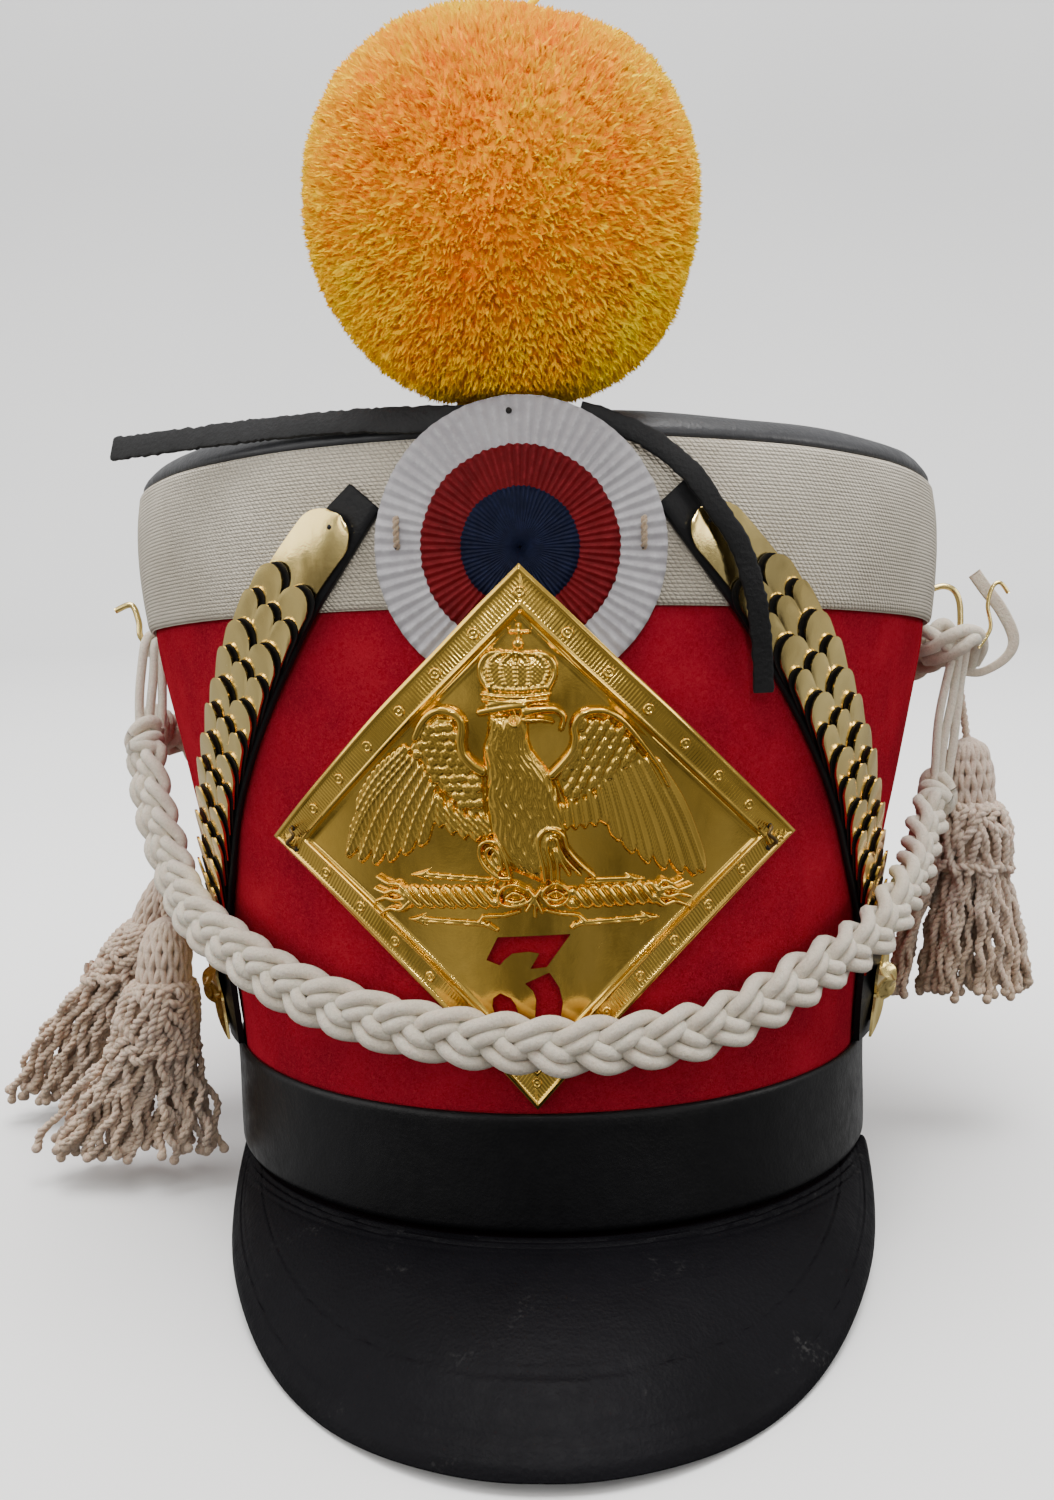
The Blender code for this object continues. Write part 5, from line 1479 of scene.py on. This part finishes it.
def chin_strap(name, side, brass, leather):
    """One strap of leather, its brass scales on their dark lining of painted shadow, and its tip plate."""
    run = np.linspace(0, RUNS[-1], 70)[:, None]
    height = np.interp(run, RUNS, HEIGHTS)
    inner, outer = smooth(STRAP_ROUTE, 2)(height), smooth(STRAP_ROUTE, 3)(height)
    section = np.array(STRAP_SECTION)
    w, up = section[None, :, 0], section[None, :, 1]
    wide = np.where(w < 0, w * outer, w * inner)
    points = strap_point(run, wide, up * STRAP_THICK, side)
    faces = grid_faces(len(run), len(section), False, True)[:, ::-side]
    pile = Pile().add(points, faces, uv=np.stack([wide, run + 0 * wide], -1))
    pile.piece(f"strap_{name}_leather", leather, "black_leather", (f"strap_{name}",), sharp=50)
    first = 0.002
    pitch = (float(np.interp(0.1440, HEIGHTS, RUNS)) - first) / SCALES
    shadow_backing, tip = Pile(), Pile()
    for k in range(SCALES):
        lobes, start, scale = 3 - k % 2, first + k * pitch, Pile()
        lobed_sheet(scale, start, 1.6 * pitch, lobes, side)
        node = f"scale_{name}_{k + 1:02d}"
        scale.piece(node + "_brass", brass, "brass", (node,), sharp=35)
        # A dark leather copy under each scale, shifted up and forwards so its lobes peek out: partly a
        # lining, mostly painted shadow beside each lobe.
        lobed_sheet(shadow_backing, start, 1.6 * pitch, lobes, side, 0.0003, (0.0011, 0.0006), -0.0005, plump=0)
    shadow_backing.piece(f"scale_{name}_backing", leather, "black_leather", sharp=35)
    tip_start = first + SCALES * pitch
    tip_sheet(tip, tip_start, side)
    tip.piece(f"tip_{name}_brass", brass, "brass", (f"tip_{name}",), sharp=40)
    hole = strap_point(tip_start + 0.0205, -0.0008, STRAP_THICK + 0.0017, side)
    Pile().ball(hole, 0.0007).piece(f"tip_{name}_hole", leather, "black_leather")
    strap_foot(name, side, brass, leather)
    boss(name, side, brass)


def strap_foot(name, side, brass, leather):
    """The strap's lower end, which stands off the felt down to the boss, and its brass edge."""
    down, wide = spread(np.linspace(0, 1, 24), np.linspace(0, 1, 9))
    height = 0.0540 - 0.0250 * down
    turn = 66.5 + 2.5 * down**2 + (11.0 - 3.0 * down**2) * wide
    off = 0.0008 + 0.0034 * wide * (1 - 0.5 * down)
    low, high = hat(side * turn, height, off), hat(side * turn, height, off + STRAP_THICK)
    leaf = Pile().sheet(low, high, np.stack([wide * 0.014, height], -1), side < 0)
    leaf.piece(f"strap_{name}_foot", leather, "black_leather", sharp=50)
    rim = Pile()
    for back, size in ((0.0, 0.0007), (1.9, 0.00045)):
        edge_off = off[:, -1] + STRAP_THICK + 0.0003 - 0.0003 * back
        edge = hat(side * (turn[:, -1] - back), height[:, -1], edge_off)
        rim.tube(along(edge[::4], 0.0012), size)
    rim.piece(f"strap_{name}_rim", brass, "brass")


def boss(name, side, brass):
    """The star at a strap's lower end: five ridged rays round a small dome."""
    turn, height = side * 77.0, 0.0425
    centre = hat(turn, height)
    out = unit(hat(turn, height, 0.01) - centre)
    up = unit(hat(turn, height + 0.01) - hat(turn, height - 0.01))
    across = np.cross(up, out)
    rings, sides = 22, 100
    inner, outer = 0.0074, 0.0168
    angle = circle(sides)

    def flat(radius):
        return across * (np.cos(angle) * radius)[..., None] + up * (np.sin(angle) * radius)[..., None]

    ray = np.abs(((angle - math.pi / 2) / (2 * np.pi) * 5) % 1.0 * 2 - 1)
    s = np.linspace(1, 0, rings)[:, None]
    radius = (inner + (outer - inner) * ray**1.6)[None] * s
    ridge = 0.0012 * ray[None] ** 3 * s * (1 - s) * 4
    puff = 0.0030 * np.clip(1 - (radius / 0.0052) ** 2, 0, 1) ** 0.5
    depth = 0.0049 + 0.0016 * (1 - s) + ridge + puff
    front = centre + flat(radius) + out * depth[..., None]
    foot = centre + flat(0.0045)
    back = [foot + out * 0.0004, foot + out * 0.0041, front[0] - out * 0.0007]
    pile = Pile().add(np.vstack([*back, front.reshape(-1, 3)]), tube_faces(rings + 3, sides))
    pile.piece(f"boss_{name}_star", brass, "brass", (f"boss_{name}",), sharp=30)


# ---- wires, laces and cords --------------------------------------------------------------------


HOOKS = {
    "hook_left": (
        ((-0.1090, 0.002, 0.1382), (-0.1140, 0.000, 0.1388), (-0.1168, -0.001, 0.1416))
        + ((-0.1172, -0.001, 0.1460), (-0.1192, -0.001, 0.1508), (-0.1240, -0.001, 0.1492)),
        0.0009,
    ),
    "hook_right": (
        ((0.1138, 0.0, 0.1516), (0.1170, 0.0, 0.1523), (0.1200, 0.0, 0.1510))
        + ((0.1216, 0.0, 0.1470), (0.1218, 0.0, 0.1395)),
        0.0009,
    ),
    "hook_small": (
        ((0.1262, -0.003, 0.1345), (0.1296, -0.003, 0.1400), (0.1288, -0.003, 0.1465))
        + ((0.1300, -0.003, 0.1515), (0.1322, -0.003, 0.1530), (0.1346, -0.003, 0.1500)),
        0.0006,
    ),
}
LACE_SECTION = (
    (-1, -0.6), (-1, 0.6), (-0.8, 1), (0, 1.05), (0.8, 1), (1, 0.6), (1, -0.6), (0.8, -1), (-0.8, -1),
)
LACE_LEFT = (
    # place, way across
    ((-0.0060, -0.1142, 0.1868), (0, -0.2, 1)),
    ((-0.0200, -0.1130, 0.1872), (0, 0.3, 1)),
    ((-0.0400, -0.1058, 0.1880), (0, 0.6, 1)),
    ((-0.0550, -0.0985, 0.1880), (0, 0.6, 1)),
    ((-0.0700, -0.0910, 0.1878), (0, 0.6, 1)),
    ((-0.0850, -0.0840, 0.1872), (0, 0.5, 1)),
    ((-0.0990, -0.0780, 0.1866), (0, 0.4, 1)),
)
LACE_RIGHT = (
    # (turn, height, off), way across
    ((7.0, 0.1815, 0.0048), (0.5, 0, 1)),
    ((11.0, 0.1790, 0.0052), (0.6, 0, 1)),
    ((15.0, 0.1750, 0.0066), (0.7, 0, 0.7)),
    ((18.7, 0.1680, 0.0092), (0.8, 0, 0.5)),
    ((21.3, 0.1602, 0.0102), (0.8, 0, 0.5)),
    ((23.8, 0.1526, 0.0106), (0.9, 0, 0.3)),
    ((25.8, 0.1411, 0.0102), (1, 0, 0)),
    ((27.2, 0.1306, 0.0092), (1, 0, 0)),
    ((28.0, 0.1221, 0.0086), (1, 0, 0)),
)
CORD_LEFT = (
    (-0.1122, 0.0030, 0.1355), (-0.1122, 0.0026, 0.1388), (-0.1122, -0.0004, 0.1402),
    (-0.1123, -0.0034, 0.1384), (-0.1125, -0.0048, 0.1320), (-0.1127, -0.0062, 0.1250),
    (-0.1130, -0.0076, 0.1150),
)
CORD_RIGHT = (
    (0.1216, -0.0015, 0.1385), (0.1208, -0.0020, 0.1320), (0.1192, -0.0024, 0.1230),
    (0.1172, -0.0030, 0.1110), (0.1156, -0.0030, 0.0960),
)
KNOT_ROUTES = (
    (
        (0.1090, 0.006, 0.1400), (0.1120, -0.001, 0.1395), (0.1155, -0.0045, 0.1365),
        (0.1185, -0.0045, 0.1338), (0.1200, -0.001, 0.1320),
    ),
    (
        (0.1095, 0.006, 0.1335), (0.1125, -0.002, 0.1345), (0.1165, -0.0060, 0.1375),
        (0.1215, -0.0060, 0.1395), (0.1262, -0.003, 0.1385), (0.1282, 0.001, 0.1345),
        (0.1268, 0.004, 0.1300),
    ),
    (
        (0.1130, 0.004, 0.1312), (0.1165, -0.003, 0.1322), (0.1205, -0.0065, 0.1345),
        (0.1242, -0.0055, 0.1372), (0.1262, 0.000, 0.1350), (0.1256, 0.004, 0.1290),
    ),
)
TAPE_LOOP = (
    # x, height, half_width
    (0.1240, 0.1275, 0.0012),
    (0.1290, 0.1275, 0.0012),
    (0.1356, 0.1315, 0.0014),
    (0.1378, 0.1370, 0.0017),
    (0.1344, 0.1450, 0.0018),
    (0.1298, 0.1512, 0.0019),
    (0.1264, 0.1560, 0.0019),
)
TAPE_SECTION = (
    (-1, -0.5), (-1, 0.5), (-0.8, 1), (-0.4, 0.8), (0, 1.1), (0.4, 0.8), (0.8, 1), (1, 0.5), (1, -0.5),
    (0.8, -1), (0, -1), (-0.8, -1),
)


def wires(brass):
    for name, (rows, radius) in HOOKS.items():
        Pile().tube(along(rows, 0.0006), radius, 12).piece(name + "_wire", brass, "brass", (name,))


def lace(name, rows, width, thick, look):
    """A flat leather lace with slightly torn edges."""
    places = along([row[0] for row in rows], 0.0010)
    count, sides = len(places), len(LACE_SECTION)
    at = np.linspace(0, len(rows) - 1, count)
    ways = np.array([row[1] for row in rows], float)
    wide = np.stack([np.interp(at, np.arange(len(rows)), ways[:, k]) for k in range(3)], -1)
    ahead = unit(np.gradient(places, axis=0))
    normal = unit(np.cross(ahead, wide))
    wide = np.cross(normal, ahead)
    left, right = 1 + 0.05 * RANDOM.normal(size=(2, count, 1))
    points = []
    for w, h in LACE_SECTION:
        points.append(places + wide * w * width / 2 * (left if w < 0 else right) + normal * h * thick / 2)
    points = np.vstack([np.stack(points, 1).reshape(-1, 3), places[:1], places[-1:]])
    pile = Pile().add(points, *closed_tube(count, sides))
    pile.piece(name + "_leather", look, "black_leather", (name,), sharp=60)


def laces(leather):
    places, ways = zip(*LACE_RIGHT)
    right = [(hat(*place), way) for place, way in zip(places, ways)]
    lace("lace_left", LACE_LEFT, 0.0060, 0.0014, leather)
    lace("lace_right", right, 0.0046, 0.0014, leather)


def plait(name, rows, look, node, on, face=0.0):
    """A plait of three doubled cords along a route on the hat, with a bound end at each side.

    Its flat side looks out from the hat, and by face it turns forwards at the hat's sides.
    """
    rows = np.array(rows)
    path = along(hat(*rows.T), 0.0010)
    lean = unit(path * (1, 1, 0))
    lean[:, 1] -= face * np.abs(lean[:, 0]) ** 2
    ahead, out, side = frames_along(path, unit(lean))
    runs = run_along(path)
    period, wide, deep, thick, apart = 0.0318, 0.0036, 0.0022, 0.00182, 0.00165
    ease = np.clip(np.minimum(runs, runs[-1] - runs) / 0.005, 0.5, 1)
    pile = Pile()
    for strand in range(3):
        phase = 2 * np.pi * (runs / period + strand / 3)
        lateral, depth = wide * np.sin(phase) * ease, deep * np.sin(2 * phase)
        middle = path + side * lateral[:, None] + out * depth[:, None]
        square = unit(np.cross(out, unit(np.gradient(middle, axis=0))))
        for half in (-1, 1):
            wobble = 0.00012 * np.sin(runs * 900 + strand * 2 + half)
            pile.tube(middle + square * (half * apart * ease + wobble)[:, None], thick, 9, 0.12 * strand)
    angle = np.linspace(0, 2 * np.pi, 25)[:-1]
    angle = np.append(angle, angle[0])[:, None]
    for end, turned in ((0, 1), (-1, -1)):
        spot, way, o, s = path[end], ahead[end] * turned, out[end], side[end]
        for ring in range(3):
            tilt = way * (0.0014 * np.sin(angle + 2 * ring))
            round_it = o * np.cos(angle) * 0.0034 + s * np.sin(angle) * (0.0052 - 0.0007 * ring)
            pile.tube(spot + way * (0.0030 * ring - 0.0024) + tilt + round_it, 0.0020, 10, 0.15)
    made = pile.piece(name + "_plait", look, "white_cord", (node,))


def hanging_cord(name, rows, look, radius, gap, free=True):
    """Three cords side by side, such as those that hang the plaits, declared as one where it is free."""
    strands = 3
    path = along(rows, 0.0007)
    _, _, side = frames_along(path, np.broadcast_to([0.2, -1.0, 0.0], path.shape))
    runs = run_along(path)
    pile = Pile()
    for k in range(strands):
        place = (k - (strands - 1) / 2) * gap
        wander = 0.0004 * np.sin(runs * 160 + 2 * k)
        pile.tube(path + side * (place + wander)[:, None], radius, 10)
    made = pile.piece(name + "_strands", look, "white_cord", (name,))
    if not free:
        return made
    spine = [tuple(p) for p in world(path[::3])]
    if tuple(world(path[-1])) != spine[-1]:
        spine.append(tuple(world(path[-1])))
    return made


def cords(cotton):
    link = hanging_cord("cord_left", CORD_LEFT, cotton, 0.00135, 0.0029, free=False)
    plait("braid_front", BRAID_FRONT, cotton, "braid_front", [link], face=1.3)
    plait("braid_back", BRAID_BACK, cotton, "braid_back", [hook_knot(cotton)])
    hanging_cord("cord_right", CORD_RIGHT, cotton, 0.00130, 0.0023)
    tape_loop(cotton)


def hook_knot(cotton):
    """The three cords that end the back plait and wrap over the right hook."""
    pile = Pile()
    for route in KNOT_ROUTES:
        pile.tube(along(route, 0.0007), 0.0019, 10, 0.2)
    return pile.piece("cord_knot", cotton, "white_cord")


def tape_loop(cotton):
    """A loop of flat tape with a cut end, beside the right hook."""
    path = along([(x, 0.003, z) for x, z, _ in TAPE_LOOP], 0.0006)
    shares = np.linspace(0, 1, len(TAPE_LOOP))
    half = np.interp(np.linspace(0, 1, len(path)), shares, [row[2] for row in TAPE_LOOP])[:, None]
    _, out, side = frames_along(path, np.broadcast_to([0.0, -1.0, 0.0], path.shape))
    points = np.stack([path + side * w * half + out * d * 0.00055 for w, d in TAPE_SECTION], 1)
    sides = len(TAPE_SECTION)
    low = (len(path) - 1) * sides
    ends = [(0, k + 1, k) for k in range(1, sides - 1)]
    ends += [(low, low + k, low + k + 1) for k in range(1, sides - 1)]
    pile = Pile().add(points, tube_faces(len(path), sides), ends, tone=0.6)
    made = pile.piece("cord_loop_tape", cotton, "white_cord", ("cord_loop",))


def ring_place(rows, share, angle, grow, out):
    """A place on the round form through some rows, at a share of the way down and an angle."""
    rows = np.asarray(rows, float)
    at = np.linspace(0, 1, len(rows))
    x, y, z, wide, deep = (np.interp(share, at, rows[:, k]) for k in range(5))
    x, y = x + (wide * grow + out) * np.cos(angle), y + (deep * grow + out) * np.sin(angle)
    return np.stack([x, y, z + 0 * angle], -1)


def tassel(name, rows, look, tone_top, tone_end, strings, crinkle, lengths):
    """A tassel: crocheted head, a thick ruff of curled yarn, and a fringe of twisted cords with knots."""
    rows = np.array(rows)
    seed = np.random.default_rng(sum(map(ord, name)))
    yarn, pitch, pace = 0.00135, 0.0042, 0.00108
    pile = Pile()
    pile.twisted(along(rows[:3, :3], 0.0006), 0.0012, 0.004, tone_top + 0.3)
    crest = rows[2] + [0, 0, 0.0022, -0.0040, -0.0040]
    head = np.vstack([crest, rows[2:5], 0.5 * (rows[4] + rows[5])])
    ruff = rows[4:9].copy()
    ruff[2, 3:] *= 0.90
    ruff[3, 3:] *= 0.93
    # Painted shade: the cores under the head's stitches and the ruff's curls take the deepest, beige tone,
    # as shade showing between them.
    for form, steps in ((head, 16), (ruff, 20)):
        share, angle = spread(np.linspace(0, 1, steps), circle(28))
        core = ring_place(form, share, angle, 0.88, -0.0009)
        pile.add(core, tube_faces(steps, 28), tone=1.35)
    rounds, stitches = 8, 13
    for row in range(rounds):
        for k in range(stitches):
            turn = 2 * np.pi * (k + 0.5 * (row % 2)) / stitches
            share = np.clip((row + 0.5) / rounds + np.linspace(0.56, -0.62, 6) / rounds, 0, 1)
            out = 0.00045 * np.sin(np.linspace(0.15, math.pi - 0.1, 6)) - 0.00125
            for side in (-1, 1):
                angle = turn + side * np.linspace(0.04, 0.46, 6) * 2 * np.pi / stitches
                path = ring_place(head, share, angle, 1.0, out)
                pile.tube(path, 0.00105, 6, tone_top + 0.12 * seed.random())
    curls, steps = 105, np.linspace(-1, 1, 6)
    for k in range(curls):
        share = (k + 0.5) / curls * 0.96 + seed.normal(0, 0.03)
        slant, reach = seed.normal(0, 0.75), seed.uniform(0.0026, 0.0046)
        turn = GOLDEN_ANGLE * k + steps * reach * math.sin(slant) / 0.0105
        tall = np.clip(share + steps * reach * math.cos(slant) / 0.0205, 0, 1.0)
        path = ring_place(ruff, tall, turn, 0.96, 0.0010 * (1 - steps**2) - 0.0009)
        tone = tone_top + 0.25 * seed.random()
        pile.twisted(along(path, 0.0009), yarn, pitch, tone, turn=seed.uniform(0, 6))
    for k in range(strings):
        turn, near = GOLDEN_ANGLE * k, math.sqrt(seed.uniform(0.12, 1.0))
        top, middle, end = (
            ring_place(rows[i : i + 1], 0.0, turn + seed.normal(0, 0.05), near * grow, -0.0012)
            for i, grow in ((8, 0.98), (9, 1.0), (10, 1.02))
        )
        end = middle + (end - middle) * seed.uniform(*lengths)
        line = along([top + [0, 0, 0.0045], top, middle, end], pace)
        run = np.arange(len(line)) * pace
        sway = crinkle * np.clip(run / 0.010, 0, 1)
        for axis in (0, 1):
            line[:, axis] += sway * np.sin(2 * np.pi * run / seed.uniform(0.009, 0.017) + seed.uniform(0, 6))
        tones = np.linspace(tone_top, tone_end, len(line)) + seed.normal(0, 0.12)
        radius = 0.00128 * seed.uniform(0.9, 1.1)
        pile.twisted(line, radius, pitch, tones, sides=5, turn=seed.uniform(0, 6))
        pile.ball(line[-1], 0.00150, tone_end, 5, 7)
    pile.piece(name + "_cotton", look, "tassel_cotton", (name,))


def tassels():
    pale = cotton_look("tassel cotton", (0.76, 0.61, 0.52), (0.62, 0.455, 0.33), (0.34, 0.23, 0.15))
    tassel("tassel_right", TASSEL_RIGHT, pale, 0.15, 0.85, 74, 0.0006, (0.90, 1.08))
    tassel("tassel_left_front", TASSEL_LEFT_FRONT, pale, 0.45, 0.75, 78, 0.0010, (0.88, 1.16))
    tassel("tassel_left_back", TASSEL_LEFT_BACK, pale, 0.45, 0.80, 64, 0.0010, (0.85, 1.12))


# ---- the pompom --------------------------------------------------------------------------------


STRAY_YARN = (
    (0.003, 0.001, 0.0330), (0.0050, 0.0, 0.0370), (0.0062, -0.001, 0.0398), (0.0070, -0.001, 0.0414),
    (0.0084, -0.001, 0.0428), (0.0082, -0.001, 0.0436),
)


def pompom(look):
    """A ball of cut wool: a plain core under tens of thousands of yarn ends in small tufts."""
    centre, radius, foot = np.array([-0.0025, -0.1080, 0.2335]), 0.0466, 0.1916
    tufts, each = 9800, 5
    count = tufts * each
    length, bend, half = 0.0034, 0.0012, 0.00034

    def reach(way):
        """The ball's radius each way: a little square, lumpy, and flatter on top."""
        square = np.sum(np.abs(way) ** 2.5, -1) ** (-1 / 2.5)
        x, y, z = way.T
        lumps = np.sin(3.1 * x + 2.2 * z + 1) + np.sin(4.3 * z - 2.6 * y) + 0.6 * np.sin(7 * x - 5 * z)
        up = np.clip(z, 0, 1)
        flatter = 0.055 * up**2 + 0.075 * up**6
        return radius * (0.925 + 0.060 * (square - 1) / 0.16 + 0.012 * lumps - flatter)

    def lay(points, low):
        return np.stack([*points.T[:2], np.maximum(points[:, 2], low)], -1)

    def patch(way):
        x, y, z = way.T
        wave = np.sin(5.2 * x + 3.4 * z + 0.7) + np.sin(6.1 * z - 4.4 * x + 2.1)
        wave += np.sin(9.0 * x + 7.7 * y + 1.3 * z)
        wave += 0.8 * np.sin(17 * x - 13 * z + 1) + 0.6 * np.sin(23 * z + 19 * x)
        return wave / 4.4

    def scatter(size, *shape):
        return RANDOM.normal(0, size, shape)

    pile = Pile()
    rows, sides = 44, 66
    shell = round_shell(np.linspace(0.02, np.pi - 0.02, rows), sides)
    core = lay(centre + shell * (reach(shell) - 0.0024)[:, None], foot + 0.0015)
    # Painted shade: the core under the tufts has a deep orange tone, as shade between the yarn ends.
    pile.add(core, tube_faces(rows, sides), tone=0.22 + 0.1 * patch(shell))
    k = np.arange(tufts)
    z = 1 - 2 * (k + 0.5) / tufts
    ring = np.sqrt(1 - z * z)
    tuft = np.stack([ring * np.cos(GOLDEN_ANGLE * k), ring * np.sin(GOLDEN_ANGLE * k), z], -1)
    tuft = tuft + scatter(0.010, tufts, 3)
    way = unit(np.repeat(tuft, each, 0) + scatter(0.016, count, 3))
    tip_way = unit(0.25 * np.repeat(unit(tuft), each, 0) + 0.75 * way + scatter(0.016, count, 3))
    outer = reach(tip_way) + np.repeat(scatter(0.00030, tufts), each) + scatter(0.00016, count)
    base = centre + way * (outer - length)[:, None]
    middle = centre + unit(way + tip_way) * (outer - bend)[:, None]
    tip = centre + tip_way * outer[:, None]
    side = unit(np.cross(way, RANDOM.normal(size=way.shape))) * half
    yarn = 0.56 + 0.30 * patch(unit(tuft)) + scatter(0.040, tufts)
    yarn = np.repeat(yarn, each) + scatter(0.03, count)
    # Painted light: the yarn is made yellower on the sides, more so on the right, and on top, where light
    # falls on the ball.
    x, up = tip_way[:, 0], np.clip(tip_way[:, 2], 0, 1)
    yarn = yarn + 0.26 * np.clip(np.abs(x) ** 2 * 0.7 + x * 0.30 + up**2 * 0.9, -0.3, 1.2)
    points = np.concatenate([base - side, base + side, middle - side, middle + side, tip])
    k = np.arange(count)
    quads = np.stack([k, k + count, k + 3 * count, k + 2 * count], 1)
    triangles = np.stack([k + 2 * count, k + 3 * count, k + 4 * count], 1)
    # Painted shade: each yarn end is deeper orange at its root than at its tip, as shade deep in the pile.
    tones = np.concatenate([yarn - 0.14, yarn - 0.14, yarn, yarn, yarn + 0.03])
    pile.add(lay(points, foot + 0.0002), quads, triangles, tone=np.clip(tones, 0, 1))
    stray = along(centre + np.array(STRAY_YARN), 0.0006)
    pile.tube(stray, np.linspace(0.0011, 0.0008, len(stray)), 7, 0.85)
    pile.piece("pompom_wool", look, "orange_wool", ("pompom",))


# ---- everything --------------------------------------------------------------------------------

camera()
studio()
leather = leather_look("band leather", (0.0030, 0.0030, 0.0036), 0.36, 0.35, shine=0.20)
rim_leather = leather_look("crown leather", (0.024, 0.0245, 0.027), 0.36, 0.6, shine=0.40)
strap_leather = leather_look("strap leather", (0.006, 0.006, 0.0066), 0.38, 0.4, shine=0.20)
brass = plate_look()
scale_brass = brass_look("scale brass", (0.97, 0.76, 0.31), 0.13)
cotton = cotton_look("white cotton cord", (0.72, 0.65, 0.54), (0.62, 0.53, 0.42), (0.42, 0.36, 0.28))
thread = cotton_look("tan thread", (0.40, 0.30, 0.20), (0.36, 0.27, 0.18), (0.16, 0.11, 0.07))
felt_and_bands(leather)
crown_top(rim_leather)
peak()
cockade(thread)
plate(brass)
chin_strap("left", -1, scale_brass, strap_leather)
chin_strap("right", 1, scale_brass, strap_leather)
wires(scale_brass)
laces(leather_look("lace leather", (0.007, 0.007, 0.0075), 0.55, 1.0))
cords(cotton)
tassels()
pompom(wool_look())
stem = bpy.data.objects["pompom_stem"].data.materials
stem.clear()
stem.append(scale_brass.material)
